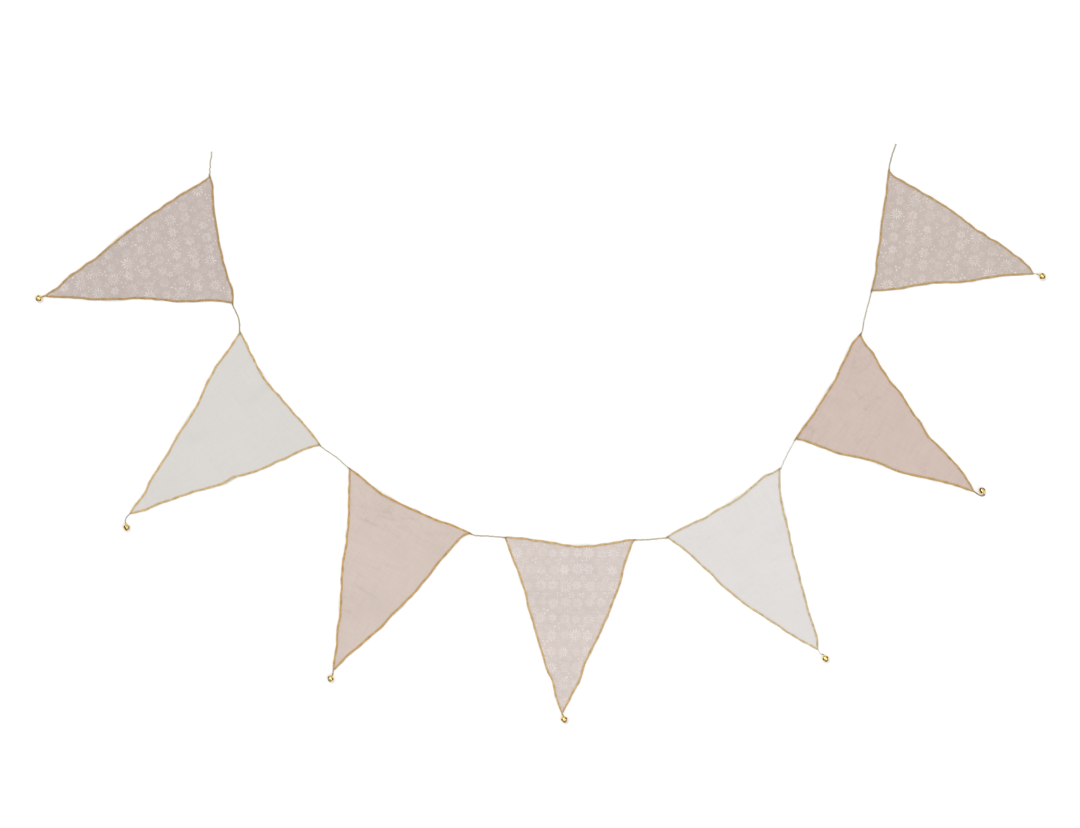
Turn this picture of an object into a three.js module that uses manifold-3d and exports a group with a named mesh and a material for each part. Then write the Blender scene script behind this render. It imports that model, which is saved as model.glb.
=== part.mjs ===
// Fabric bunting: seven cotton flags on a thin string, laid in a wide U on a flat surface.
// Millimetres, +Z up. The origin is on the surface, under the middle of the flags and bells.
import * as THREE from "three";
import { mergeVertices } from "three/addons/utils/BufferGeometryUtils.js";
import Module from "manifold-3d";

// Cloth and the overlocked thread along its edges
const CLOTH_THICK = 1.2;
const EDGE_WIDTH = 3.2;
const EDGE_THICK = 2.0;
const EDGE_FLAT_SHARE = 0.6;
const CORNER_STUB = 1.6;
const TIP_STUB = 0.8;
const GAP = 0.3;

// String, bell threads and bells
const STRING_DIA = 1.5;
const STRING_STEP = 3 * STRING_DIA;
const THREAD_DIA = 1.0;
const BELL_RADIUS = 4.5;
const BELL_WALL = 0.45;
const SLOT_WIDTH = 0.7;
const SLOT_HOLE_RADIUS = 0.95;
const SLOT_HOLE_DROP = 0.5;
const LOOP_RADIUS = 0.85;
const LOOP_WIRE_RADIUS = 0.35;
const LOOP_RISE = 0.6;

// How finely the cloth and the rounds are divided
const CLOTH_DIVISIONS = 16;
const CORNER_SEARCH_STEP = 1 / 240;
const CORNER_SEARCH_REACH = 1 / 4;
const STRING_SIDES = 8;
const THREAD_SIDES = 6;
const BELL_OUTSIDE = { around: 12, down: 6 };
const BELL_INSIDE = { around: 8, down: 4 };
const SLOT_HOLE_SIDES = 6;
const LOOP_DIVISIONS = { wire: 4, round: 8 };
const MERGE_DISTANCE = 1e-4;

const COLOURS = {
  print: 0xcfc4be,
  cream: 0xe0ddd9,
  rose: 0xd4c3ba,
  edging: 0xc6a671,
  string: 0xcac5be,
  thread: 0xd8d2c8,
  brass: 0xc99c3f,
};

// The flags in their order along the string. A flag hangs from the middle of its base (at, in mm), and its
// base is turned from +X by turn degrees. width, drop and tipShift set the triangle: the tip lies drop below
// the base and tipShift to the right of its middle. Each edge is uneven: a wave [share, out] moves the edge
// outwards by out mm at that share of its length, counted from the left corner on the base and downwards on
// the two sides. A fold is a soft ridge of the given rise and half width between two points [right, down].
const FLAGS = [
  {
    cloth: "print", at: [-399.4, 258.7], turn: -79.8, width: 160.4, drop: 230, tipShift: 30.5,
    base: [[0.08, 1], [0.2, -2], [0.35, -3], [0.5, -3.5], [0.65, -2.75], [0.76, -1.25], [0.92, 2]],
    left: [[0.04, -0.75], [0.15, 2], [0.27, 3.5], [0.43, 4], [0.6, 2.25], [0.7, 0.5], [0.83, 1.5], [0.91, -1]],
    right: [[0.1, -2.25], [0.28, 0.5], [0.4, -1.5], [0.5, -1.75], [0.63, 0.5], [0.72, 1.5], [0.85, 0.25]],
    folds: [
      { from: [-46, 30], to: [34, 22], rise: 1.6, half: 15 },
      { from: [-30, 84], to: [44, 92], rise: 1.3, half: 17 },
      { from: [-14, 128], to: [-52, 118], rise: 2.6, half: 18 },
      { from: [40, 150], to: [62, 142], rise: 2.2, half: 17 },
    ],
  },
  {
    cloth: "cream", at: [-325.9, 72.4], turn: -54.7, width: 172, drop: 243, tipShift: 19,
    base: [[0.1, -2.5], [0.25, -6.75], [0.38, -9], [0.5, -7.25], [0.7, -3.75], [0.9, -0.25]],
    left: [[0.1, 1], [0.23, 3.25], [0.43, -2], [0.53, -0.5], [0.68, -1.5], [0.8, -0.5], [0.88, -2.5],
      [0.95, -0.5]],
    right: [[0.07, -1.5], [0.2, 1.25], [0.35, 3.75], [0.45, 1.5], [0.53, 4], [0.7, 1], [0.77, 1.5], [0.85, 0.5],
      [0.93, 2]],
    folds: [
      { from: [-24, 4], to: [-18, 34], rise: 2.8, half: 20 },
      { from: [-40, 110], to: [-18, 118], rise: 1.8, half: 18 },
      { from: [58, 118], to: [34, 108], rise: 2.0, half: 17 },
    ],
  },
  {
    cloth: "rose", at: [-163.5, -68.2], turn: -28.2, width: 170.5, drop: 231.5, tipShift: 15.5,
    base: [[0.1, -2.25], [0.2, -6.5], [0.35, -9], [0.5, -8], [0.7, -5.75], [0.9, -1]],
    left: [[0.1, -1.5], [0.28, -4], [0.4, -2.75], [0.5, -1], [0.7, -3], [0.8, -1.25], [0.87, -2], [0.94, -0.5]],
    right: [[0.05, -4.5], [0.2, -2.5], [0.3, 0], [0.4, 2.75], [0.55, 3], [0.7, 3.5], [0.8, 1.5], [0.9, -0.25]],
    folds: [
      { from: [-34, 6], to: [-30, 30], rise: 2.6, half: 19 },
      { from: [-46, 66], to: [30, 58], rise: 1.4, half: 16 },
      { from: [-16, 112], to: [46, 120], rise: 1.6, half: 18 },
      { from: [-32, 158], to: [4, 150], rise: 2.0, half: 17 },
    ],
  },
  {
    cloth: "print", at: [36.6, -115.2], turn: -1.1, width: 161.3, drop: 218, tipShift: -5.8,
    base: [[0.05, 0], [0.2, -2.25], [0.3, -4], [0.45, -8], [0.6, -9.5], [0.72, -7.25], [0.85, -4], [0.93, -1]],
    left: [[0.1, -0.75], [0.27, -3], [0.4, -1], [0.57, 0], [0.73, 0.75], [0.84, -1], [0.92, 0.75]],
    right: [[0.03, -1.5], [0.15, 0.25], [0.25, 4], [0.38, 4.75], [0.5, 5], [0.7, 2.25], [0.8, 4], [0.9, 2]],
    folds: [
      { from: [16, 8], to: [12, 34], rise: 2.8, half: 19 },
      { from: [-52, 52], to: [-16, 60], rise: 1.8, half: 16 },
      { from: [44, 74], to: [24, 82], rise: 2.0, half: 17 },
      { from: [-16, 150], to: [20, 140], rise: 1.4, half: 17 },
    ],
  },
  {
    cloth: "cream", at: [228.4, -70.6], turn: 31.3, width: 164, drop: 217, tipShift: 5.5,
    base: [[0.1, 0], [0.3, -3.5], [0.45, -4], [0.6, -5], [0.72, -2.5], [0.86, 1.25], [0.95, 0]],
    left: [[0.1, -1], [0.2, 1], [0.3, 3.75], [0.4, 7], [0.55, 8], [0.65, 6.5], [0.75, 4.5], [0.82, 4.5],
      [0.9, 2]],
    right: [[0.1, -4.75], [0.2, -6.5], [0.3, -5.5], [0.45, -5.25], [0.65, -3], [0.8, -1.25], [0.88, 1.25],
      [0.94, 2]],
    folds: [
      { from: [16, 4], to: [8, 30], rise: 2.2, half: 19 },
      { from: [58, 44], to: [34, 62], rise: 2.4, half: 18 },
      { from: [-42, 96], to: [-20, 86], rise: 1.8, half: 18 },
    ],
  },
  {
    cloth: "rose", at: [359.1, 74.9], turn: 58.3, width: 153.2, drop: 223.8, tipShift: -15.6,
    base: [[0.1, -1], [0.3, -3], [0.5, -3.25], [0.62, -2.75], [0.8, 0.75], [0.9, 2]],
    left: [[0.05, -1], [0.15, 0.5], [0.25, 2], [0.43, -1], [0.6, 2.5], [0.83, -1]],
    right: [[0.05, -2], [0.12, -1.5], [0.28, -4.5], [0.37, -2], [0.45, -4.25], [0.56, -4], [0.63, -6.25],
      [0.7, -2.75], [0.8, 0.25], [0.9, 2.25]],
    folds: [
      { from: [-4, 6], to: [2, 34], rise: 2.0, half: 18 },
      { from: [50, 56], to: [-24, 64], rise: 1.6, half: 17 },
      { from: [20, 128], to: [-10, 122], rise: 2.4, half: 17 },
      { from: [-44, 104], to: [-34, 92], rise: 1.8, half: 15 },
    ],
  },
  {
    cloth: "print", at: [424.5, 270.1], turn: 81.8, width: 151.6, drop: 196.6, tipShift: -26.1,
    base: [[0.15, -2], [0.3, -1], [0.42, -1.5], [0.6, -0.5], [0.78, -1]],
    left: [[0.15, 1], [0.33, -1.5], [0.45, -1], [0.55, 1], [0.67, -0.25], [0.8, -1.75], [0.9, -1]],
    right: [[0.04, -2.75], [0.1, -1], [0.2, 0.75], [0.3, 3], [0.45, 4.5], [0.6, 3.25], [0.74, 5.5],
      [0.86, 5.25], [0.95, 4]],
    folds: [
      { from: [-38, 34], to: [30, 26], rise: 1.5, half: 15 },
      { from: [44, 62], to: [8, 74], rise: 2.0, half: 17 },
      { from: [-36, 96], to: [-6, 104], rise: 1.8, half: 16 },
    ],
  },
];

// Where the string runs from flag to flag and at its two loose ends, in mm on the surface
const STRINGS = [
  { name: "tie_start",
    via: [[-413.4, 342.1], [-413.8, 346.4], [-413, 350.3], [-413, 357.4], [-411.6, 362.6]],
    to: [-411.4, 368.6] },
  { name: "string_1_2",
    via: [[-384, 174.5], [-381.9, 170.1], [-379.4, 165.1], [-377.6, 159.5], [-376.4, 152]] },
  { name: "string_2_3", via: [[-267.6, -5.2], [-256.3, -12.5], [-246.9, -20.7]] },
  { name: "string_3_4", via: [[-82.8, -110.9], [-78.1, -111.3], [-68.3, -111.7], [-57.9, -112.4]] },
  { name: "string_4_5", via: [[124.1, -116.6], [139.4, -115.8], [150, -114.6]] },
  { name: "string_5_6", via: [[305.9, -13.8], [311.6, -3]] },
  { name: "string_6_7",
    via: [[402.4, 146], [403.2, 152.2], [404.7, 159.5], [407.1, 169.9], [410, 180.3]] },
  { name: "tie_end", via: [[436.6, 354.5], [440.1, 366.8]], to: [444, 378] },
];

// The bells lie beside the flags' points. at is a bell's centre, turn the way its loop points, tilt how far
// the loop leans from level and roll its slots' turn about its own axis. via holds its thread's bends.
const BELLS = [
  { at: [-627.4, 184.4], turn: 28, tilt: -30, roll: 20, via: [] },
  { at: [-517.8, -101], turn: 102, tilt: -30, roll: 40,
    via: [[-515.9, -86.2], [-518.2, -89.2], [-519.3, -92.2]] },
  { at: [-262.5, -290.4], turn: 64, tilt: -24, roll: 10, via: [[-259.6, -282.6]] },
  { at: [29.4, -341.4], turn: 108, tilt: -28, roll: 35, via: [] },
  { at: [356.2, -265.4], turn: 117, tilt: -26, roll: 5, via: [[349.1, -258.2], [351.4, -259.6]] },
  { at: [551.8, -55.5], turn: -59, tilt: -30, roll: 28,
    via: [[545.1, -58.6], [548.5, -60.6], [551.6, -61.6]] },
  { at: [627, 212.5], turn: 153, tilt: -28, roll: 15, via: [[618.6, 215.9]] },
];

const wasm = await Module();
wasm.setup();

// A closed three.js geometry as a solid that can be joined and cut
function solidOf(geometry) {
  const bare = geometry.clone();
  bare.deleteAttribute("normal");
  bare.deleteAttribute("uv");
  const merged = mergeVertices(bare, MERGE_DISTANCE);
  return new wasm.Manifold(new wasm.Mesh({
    numProp: 3,
    vertProperties: new Float32Array(merged.attributes.position.array),
    triVerts: new Uint32Array(merged.index.array),
  }));
}

function geometryOf(solid) {
  const mesh = solid.getMesh();
  const geometry = new THREE.BufferGeometry();
  geometry.setAttribute("position", new THREE.BufferAttribute(mesh.vertProperties.slice(), 3));
  geometry.setIndex(new THREE.BufferAttribute(mesh.triVerts.slice(), 1));
  geometry.computeVertexNormals();
  return geometry;
}

function geometryFrom(points, triangles) {
  const geometry = new THREE.BufferGeometry();
  geometry.setAttribute("position", new THREE.Float32BufferAttribute(points.flatMap((p) => p.toArray()), 3));
  geometry.setIndex(triangles.flat());
  geometry.computeVertexNormals();
  return geometry;
}

function namedMesh(name, geometry, colour, roughness, metalness = 0) {
  const material = new THREE.MeshStandardMaterial({ color: colour, roughness, metalness });
  const mesh = new THREE.Mesh(geometry, material);
  mesh.name = name;
  return mesh;
}

// How far the cloth is lifted off the surface at a place on a flag, summed over its soft folds
function liftAt(flag, place) {
  let lift = 0;
  for (const fold of flag.folds) {
    const start = new THREE.Vector3(fold.from[0], -fold.from[1], 0);
    const end = new THREE.Vector3(fold.to[0], -fold.to[1], 0);
    const nearest = new THREE.Line3(start, end)
      .closestPointToPoint(new THREE.Vector3(place.x, place.y, 0), true, new THREE.Vector3());
    const share = Math.hypot(place.x - nearest.x, place.y - nearest.y) / fold.half;
    lift += share < 1 ? fold.rise * (1 - share * share) ** 2 : 0;
  }
  return lift;
}

// One uneven edge of a flag, with its outward side given by the sign of side
class Edge {
  constructor(start, end, waves, side) {
    const along = end.clone().sub(start);
    const out = new THREE.Vector2(along.y, -along.x).normalize().multiplyScalar(side);
    const bends = waves.map(([share, amount]) => (
      start.clone().addScaledVector(along, share).addScaledVector(out, amount)));
    this.curve = new THREE.SplineCurve([start, ...bends, end]);
    this.side = side;
  }

  // A point at a share of the edge's length, moved outwards. Shares past the ends run straight on.
  at(share, outwards = 0) {
    const held = Math.min(Math.max(share, 0), 1);
    const tangent = this.curve.getTangentAt(held);
    const out = new THREE.Vector2(tangent.y, -tangent.x).multiplyScalar(this.side);
    const past = (share - held) * this.curve.getLength();
    return this.curve.getPointAt(held).addScaledVector(tangent, past).addScaledVector(out, outwards);
  }

  past(millimetres) {
    return millimetres / this.curve.getLength();
  }
}

// The shares at which two edges' inner lines cross, searched from the ends that meet
function crossing(first, firstFromEnd, second, secondFromEnd, inset) {
  const reach = CORNER_SEARCH_REACH / CORNER_SEARCH_STEP;
  const shares = (fromEnd) => Array.from({ length: reach }, (_, i) => (
    fromEnd ? 1 - i * CORNER_SEARCH_STEP : i * CORNER_SEARCH_STEP));
  const firstShares = shares(firstFromEnd);
  const secondShares = shares(secondFromEnd);
  const firstPoints = firstShares.map((share) => first.at(share, -inset));
  const secondPoints = secondShares.map((share) => second.at(share, -inset));
  for (let i = 1; i < reach; i += 1) {
    for (let j = 1; j < reach; j += 1) {
      const a = firstPoints[i].clone().sub(firstPoints[i - 1]);
      const b = secondPoints[j].clone().sub(secondPoints[j - 1]);
      const between = secondPoints[j - 1].clone().sub(firstPoints[i - 1]);
      const turn = a.cross(b);
      const onFirst = between.cross(b) / turn;
      const onSecond = between.cross(a) / turn;
      if (onFirst >= 0 && onFirst <= 1 && onSecond >= 0 && onSecond <= 1) {
        return [
          THREE.MathUtils.lerp(firstShares[i - 1], firstShares[i], onFirst),
          THREE.MathUtils.lerp(secondShares[j - 1], secondShares[j], onSecond),
        ];
      }
    }
  }
  throw new Error("two edges of a flag never meet");
}

// The flag's three edges, with the shares between which its cloth runs
function layOut(flag) {
  const leftCorner = new THREE.Vector2(-flag.width / 2, 0);
  const rightCorner = new THREE.Vector2(flag.width / 2, 0);
  const tip = new THREE.Vector2(flag.tipShift, -flag.drop);
  const base = new Edge(leftCorner, rightCorner, flag.base, -1);
  const left = new Edge(leftCorner, tip, flag.left, 1);
  const right = new Edge(rightCorner, tip, flag.right, -1);
  const inset = EDGE_WIDTH / 2 + GAP;
  const [baseFrom, leftFrom] = crossing(base, false, left, false, inset);
  const [baseTo, rightFrom] = crossing(base, true, right, false, inset);
  const [leftTo, rightTo] = crossing(left, true, right, true, inset);
  const shares = (from, to) => Array.from({ length: CLOTH_DIVISIONS + 1 }, (_, i) => (
    THREE.MathUtils.lerp(from, to, i / CLOTH_DIVISIONS)));
  return {
    base, left, right,
    baseShares: shares(baseFrom, baseTo),
    leftShares: shares(leftFrom, leftTo),
    rightShares: shares(rightFrom, rightTo),
  };
}

// The cloth: a triangular lattice between the three edges, lifted by the folds, with an even thickness
function clothGeometry(flag, plan) {
  const inset = EDGE_WIDTH / 2 + GAP;
  const count = CLOTH_DIVISIONS;
  const under = [];
  const rows = [];
  const baseLine = plan.baseShares.map((share) => plan.base.at(share, -inset));
  for (let row = 0; row <= count; row += 1) {
    const leftEnd = plan.left.at(plan.leftShares[row], -inset);
    const rightEnd = plan.right.at(plan.rightShares[row], -inset);
    const cells = count - row;
    rows.push(Array.from({ length: cells + 1 }, (_, i) => under.length + i));
    for (let i = 0; i <= cells; i += 1) {
      const across = cells ? i / cells : 0;
      const place = leftEnd.clone().lerp(rightEnd, across);
      const onBase = across * count;
      const before = Math.min(Math.floor(onBase), count - 1);
      const bowed = baseLine[before].clone().lerp(baseLine[before + 1], onBase - before);
      const straight = baseLine[0].clone().lerp(baseLine[count], across);
      place.addScaledVector(bowed.sub(straight), 1 - row / count);
      under.push(new THREE.Vector3(place.x, place.y, liftAt(flag, place)));
    }
  }
  const upper = under.map((point) => new THREE.Vector3(point.x, point.y, point.z + CLOTH_THICK));
  const triangles = [];
  const top = under.length;
  const face = (a, b, c) => triangles.push([a + top, c + top, b + top], [a, b, c]);
  const wall = (a, b) => triangles.push([a, a + top, b + top], [a, b + top, b]);
  for (let row = 0; row < count; row += 1) {
    const upperRow = rows[row];
    const lowerRow = rows[row + 1];
    for (let i = 0; i < lowerRow.length; i += 1) {
      face(upperRow[i], upperRow[i + 1], lowerRow[i]);
      if (i + 1 < lowerRow.length) {
        face(upperRow[i + 1], lowerRow[i + 1], lowerRow[i]);
      }
    }
    wall(lowerRow[0], upperRow[0]);
    wall(upperRow.at(-1), lowerRow.at(-1));
  }
  for (let i = 0; i < count; i += 1) {
    wall(rows[0][i], rows[0][i + 1]);
  }
  return geometryFrom([...under, ...upper], triangles);
}

// The overlocked edge: a flat six-sided band along one edge, rising with the cloth. extra thickens it all
// round, for the room that it keeps from its neighbours.
function edgingSolid(flag, edge, shares, extra = 0) {
  const half = EDGE_WIDTH / 2 + extra;
  const crest = EDGE_FLAT_SHARE * half;
  const section = [
    [-half, EDGE_THICK / 2], [-crest, EDGE_THICK + extra], [crest, EDGE_THICK + extra],
    [half, EDGE_THICK / 2], [crest, -extra], [-crest, -extra],
  ];
  const sides = section.length;
  const points = shares.flatMap((share) => {
    const lift = liftAt(flag, edge.at(share));
    return section.map(([out, rise]) => {
      const place = edge.at(share, out);
      return new THREE.Vector3(place.x, place.y, lift + rise);
    });
  });
  const triangles = [];
  for (let step = 0; step + 1 < shares.length; step += 1) {
    for (let i = 0; i < sides; i += 1) {
      const a = step * sides + i;
      const b = step * sides + ((i + 1) % sides);
      triangles.push([a, a + sides, b + sides], [a, b + sides, b]);
    }
  }
  const last = (shares.length - 1) * sides;
  for (let i = 1; i + 1 < sides; i += 1) {
    triangles.push([0, i, i + 1], [last, last + i + 1, last + i]);
  }
  const facingOut = edge.side > 0 ? triangles.map(([a, b, c]) => [a, c, b]) : triangles;
  return solidOf(geometryFrom(points, facingOut));
}

// A run of shares that goes on past both ends of its edge, for the room that one edging keeps from another
function longer(edge, shares) {
  return [-edge.past(EDGE_WIDTH), ...shares, 1 + edge.past(EDGE_WIDTH)];
}

// One flag in its own group: the cloth and the three runs of edging, each clear of the others
function flagGroup(flag, number) {
  const plan = layOut(flag);
  const { base, left, right } = plan;
  const baseRun = [-base.past(CORNER_STUB), ...plan.baseShares, 1 + base.past(CORNER_STUB)];
  const leftRun = [0, ...plan.leftShares, 1 + left.past(TIP_STUB)];
  const rightRun = [0, ...plan.rightShares, 1];
  const baseRoom = edgingSolid(flag, base, longer(base, plan.baseShares), GAP);
  const leftRoom = edgingSolid(flag, left, longer(left, plan.leftShares), GAP);
  const runs = {
    base: edgingSolid(flag, base, baseRun),
    left: edgingSolid(flag, left, leftRun).subtract(baseRoom),
    right: edgingSolid(flag, right, rightRun).subtract(baseRoom).subtract(leftRoom),
  };
  const group = new THREE.Group();
  group.position.set(flag.at[0], flag.at[1], 0);
  group.rotation.z = THREE.MathUtils.degToRad(flag.turn);
  group.add(namedMesh(`flag_${number}`, clothGeometry(flag, plan), COLOURS[flag.cloth], 0.95));
  for (const [side, solid] of Object.entries(runs)) {
    group.add(namedMesh(`edge_${number}_${side}`, geometryOf(solid), COLOURS.edging, 0.7));
  }
  group.updateMatrixWorld(true);
  return { group, plan };
}

// Where a flag's edging ends, and which way it points there, on the surface
function edgingEnd(placed, edge, share, height) {
  const matrix = placed.group.matrixWorld;
  const end = edge.at(share);
  const inner = edge.at(share > 0.5 ? 1 : 0);
  const point = new THREE.Vector3(end.x, end.y, height).applyMatrix4(matrix);
  const before = new THREE.Vector3(inner.x, inner.y, height).applyMatrix4(matrix);
  return { point, direction: point.clone().sub(before).normalize() };
}

// A round tube of even thickness through the given points
function tubeGeometry(points, diameter, sides, steps) {
  const outline = Array.from({ length: sides }, (_, i) => {
    const angle = ((i + 0.5) / sides) * 2 * Math.PI;
    return new THREE.Vector2(Math.cos(angle), Math.sin(angle)).multiplyScalar(diameter / 2);
  });
  return new THREE.ExtrudeGeometry(new THREE.Shape(outline), {
    extrudePath: new THREE.CatmullRomCurve3(points), steps, bevelEnabled: false,
  });
}

function stringMesh(row, from, to) {
  const height = STRING_DIA / 2;
  const bends = row.via.map(([x, y]) => new THREE.Vector3(x, y, height));
  const points = [from, ...bends, to];
  const length = new THREE.CatmullRomCurve3(points).getLength();
  const steps = Math.round(length / STRING_STEP);
  return namedMesh(row.name, tubeGeometry(points, STRING_DIA, STRING_SIDES, steps), COLOURS.string, 0.9);
}

// A hollow bell about its own Y axis: crossed slots that end in round holes below, and a wire loop on top
function bellGeometry() {
  const ball = (radius, { around, down }) => solidOf(new THREE.SphereGeometry(radius, around, down));
  const hollow = ball(BELL_RADIUS - BELL_WALL, BELL_INSIDE);
  const slotDepth = BELL_RADIUS;
  const across = 3 * BELL_RADIUS;
  let shell = ball(BELL_RADIUS, BELL_OUTSIDE).subtract(hollow);
  for (const turn of [0, Math.PI / 2]) {
    const slot = new THREE.BoxGeometry(across, slotDepth, SLOT_WIDTH);
    slot.translate(0, -SLOT_HOLE_DROP - slotDepth / 2, 0).rotateY(turn);
    const holes = new THREE.CylinderGeometry(SLOT_HOLE_RADIUS, SLOT_HOLE_RADIUS, across, SLOT_HOLE_SIDES);
    holes.rotateZ(Math.PI / 2).translate(0, -SLOT_HOLE_DROP, 0).rotateY(turn);
    shell = shell.subtract(solidOf(slot)).subtract(solidOf(holes));
  }
  const { wire, round } = LOOP_DIVISIONS;
  const loop = new THREE.TorusGeometry(LOOP_RADIUS, LOOP_WIRE_RADIUS, wire, round);
  loop.translate(0, BELL_RADIUS + LOOP_RISE, 0);
  return geometryOf(shell.add(solidOf(loop).subtract(hollow)));
}

const BELL_GEOMETRY = bellGeometry();

// A bell in its own group, turned so that its loop points to the flag
function bellGroup(row, number) {
  const group = new THREE.Group();
  group.position.set(row.at[0], row.at[1], BELL_RADIUS);
  group.rotation.order = "ZYX";
  group.rotation.z = THREE.MathUtils.degToRad(row.turn);
  group.rotation.y = THREE.MathUtils.degToRad(-row.tilt);
  const mesh = namedMesh(`bell_${number}`, BELL_GEOMETRY, COLOURS.brass, 0.3, 1);
  mesh.rotation.order = "ZYX";
  mesh.rotation.z = -Math.PI / 2;
  mesh.rotation.y = THREE.MathUtils.degToRad(row.roll);
  group.add(mesh);
  group.updateMatrixWorld(true);
  return group;
}

// The thread from a flag's point to its bell's loop
function bellThread(row, number, start, bell) {
  const height = THREAD_DIA / 2;
  const loopTop = BELL_RADIUS + LOOP_RISE + LOOP_RADIUS + LOOP_WIRE_RADIUS;
  const end = new THREE.Vector3(loopTop + GAP, 0, 0).applyMatrix4(bell.matrixWorld);
  const from = start.point.clone().addScaledVector(start.direction, GAP);
  const bends = row.via.map(([x, y]) => new THREE.Vector3(x, y, height));
  const points = [from, ...bends, end];
  const geometry = tubeGeometry(points, THREAD_DIA, THREAD_SIDES, 2 * (points.length - 1));
  return namedMesh(`bell_thread_${number}`, geometry, COLOURS.thread, 0.9);
}

// The place beside a base corner where the string comes out of the edging
function stringSeat(placed, fromRight) {
  const { base } = placed.plan;
  const stub = base.past(CORNER_STUB);
  const { point, direction } = edgingEnd(placed, base, fromRight ? 1 + stub : -stub, STRING_DIA / 2);
  return point.addScaledVector(direction, GAP);
}

const bunting = new THREE.Group();
const placedFlags = FLAGS.map((flag, i) => flagGroup(flag, i + 1));
placedFlags.forEach(({ group }) => bunting.add(group));

STRINGS.forEach((row, i) => {
  const before = placedFlags[i - 1];
  const after = placedFlags[i];
  const from = before ? stringSeat(before, true) : stringSeat(after, false);
  const to = row.to ? new THREE.Vector3(...row.to, STRING_DIA / 2) : stringSeat(after, false);
  bunting.add(stringMesh(row, from, to));
});

BELLS.forEach((row, i) => {
  const flag = placedFlags[i];
  const { left } = flag.plan;
  const bell = bellGroup(row, i + 1);
  const tip = edgingEnd(flag, left, 1 + left.past(TIP_STUB), EDGE_THICK / 2);
  bunting.add(bell, bellThread(row, i + 1, tip, bell));
});

export default bunting;
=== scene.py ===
"""Fabric bunting laid in a wide U: gauze flags with overlocked edges, a cotton string and brass bells.

Tables and shapes are in millimetres in the part's frame, with the surface at z = 0. Blender's own objects
are in metres.
"""

import logging
import math
from collections.abc import Callable
from dataclasses import dataclass
from enum import Enum
from functools import cached_property, partial

import bmesh
import bpy
import numpy as np
from mathutils import Matrix, Vector


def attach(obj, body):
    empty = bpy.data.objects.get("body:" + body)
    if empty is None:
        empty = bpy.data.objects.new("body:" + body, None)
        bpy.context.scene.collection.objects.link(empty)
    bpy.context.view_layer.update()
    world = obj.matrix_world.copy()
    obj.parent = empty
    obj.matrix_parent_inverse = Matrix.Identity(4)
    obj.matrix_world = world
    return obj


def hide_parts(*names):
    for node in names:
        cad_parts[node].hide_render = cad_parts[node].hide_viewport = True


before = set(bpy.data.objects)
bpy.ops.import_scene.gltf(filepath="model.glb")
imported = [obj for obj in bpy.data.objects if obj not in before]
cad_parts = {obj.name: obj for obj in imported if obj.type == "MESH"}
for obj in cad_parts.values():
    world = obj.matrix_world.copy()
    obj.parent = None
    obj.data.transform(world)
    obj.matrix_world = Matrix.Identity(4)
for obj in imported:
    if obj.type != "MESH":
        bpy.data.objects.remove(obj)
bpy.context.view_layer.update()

LOG = logging.getLogger("bunting")
MM = 0.001
BODY = "root"
# The mesh attribute that holds each point's place on the flat cloth, or along and around a thread
PATTERN = "pattern_mm"
# How far apart separate pieces lie, and how many points a route gets for each of its bends
GAP = 0.3
ROUTE_FINENESS = 40
UP = np.array([0.0, 0.0, 1.0])

# A wave texture repeats after this length at scale 1
WAVE_PERIOD = 2 * math.pi / 20
# A Mix node's two colours and its mixed one, whose names its other kinds of socket share
MIX_A, MIX_B, MIX_RESULT = 6, 7, 2

Socket = bpy.types.NodeSocket
# add_node for one tree
NodeAdder = Callable[..., bpy.types.bpy_prop_collection]


class Cloth(Enum):
    """The three cloths that the flags are cut from, each value a part of its materials' names."""

    PRINT = "gauze_print"
    CREAM = "gauze_cream"
    ROSE = "gauze_rose"


# How long a cloth's thick threads are, and how many times as light as the dye. The rose cloth is spun the
# least evenly.
SLUBS = {Cloth.PRINT: (46.0, 1.085), Cloth.CREAM: (46.0, 1.035), Cloth.ROSE: (26.0, 1.07)}


class Side(Enum):
    """A flag's three edges. The base carries the string, and the other two meet at the point."""

    BASE = 0
    LEFT = 1
    RIGHT = 2


def linear(hex_colour: str, gain: float = 1.0) -> tuple[float, float, float, float]:
    """Turn an sRGB colour into linear light.

    Args:
        hex_colour: the colour as "#RRGGBB".
        gain: how many times as light it is made.

    Returns:
        Linear red, green, blue and an alpha of 1.
    """
    shares = (int(hex_colour[i:i + 2], 16) / 255 for i in (1, 3, 5))
    lit = (s / 12.92 if s <= 0.04045 else ((s + 0.055) / 1.055) ** 2.4 for s in shares)
    red, green, blue = (min(1.0, gain * s) for s in lit)
    return red, green, blue, 1.0


def add_node(tree: bpy.types.NodeTree, kind: str, inputs: dict | None = None,
             **settings: object) -> bpy.types.bpy_prop_collection:
    """Add one node, set it up and feed its inputs.

    Args:
        tree: the node tree that it goes into.
        kind: the node's type name after "ShaderNode".
        inputs: by an input's name or number, its constant or the socket that is linked to it.
        settings: the node's own properties.

    Returns:
        The new node's outputs.
    """
    node = tree.nodes.new(f"ShaderNode{kind}")
    for key, value in settings.items():
        setattr(node, key, value)
    for key, value in (inputs or {}).items():
        if isinstance(value, Socket):
            tree.links.new(value, node.inputs[key])
        else:
            node.inputs[key].default_value = value
    return node.outputs


def emptied(owner: bpy.types.Material | bpy.types.World) -> NodeAdder:
    """Clear the nodes of a material or a world.

    Args:
        owner: the material or the world.

    Returns:
        add_node for its tree.
    """
    owner.use_nodes = True
    owner.node_tree.nodes.clear()
    return partial(add_node, owner.node_tree)


def unit(vectors: np.ndarray) -> np.ndarray:
    """Scale vectors to a length of 1."""
    return vectors / np.linalg.norm(vectors, axis=-1, keepdims=True)


def crossed(first: np.ndarray, second: np.ndarray) -> np.ndarray:
    """Give the cross product of flat vectors, as one number for each pair."""
    return first[..., 0] * second[..., 1] - first[..., 1] * second[..., 0]


def lengths_along(line: np.ndarray) -> np.ndarray:
    """Give how far along a line each of its points lies."""
    return np.concatenate([[0.0], np.cumsum(np.linalg.norm(np.diff(line, axis=0), axis=1))])


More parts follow.
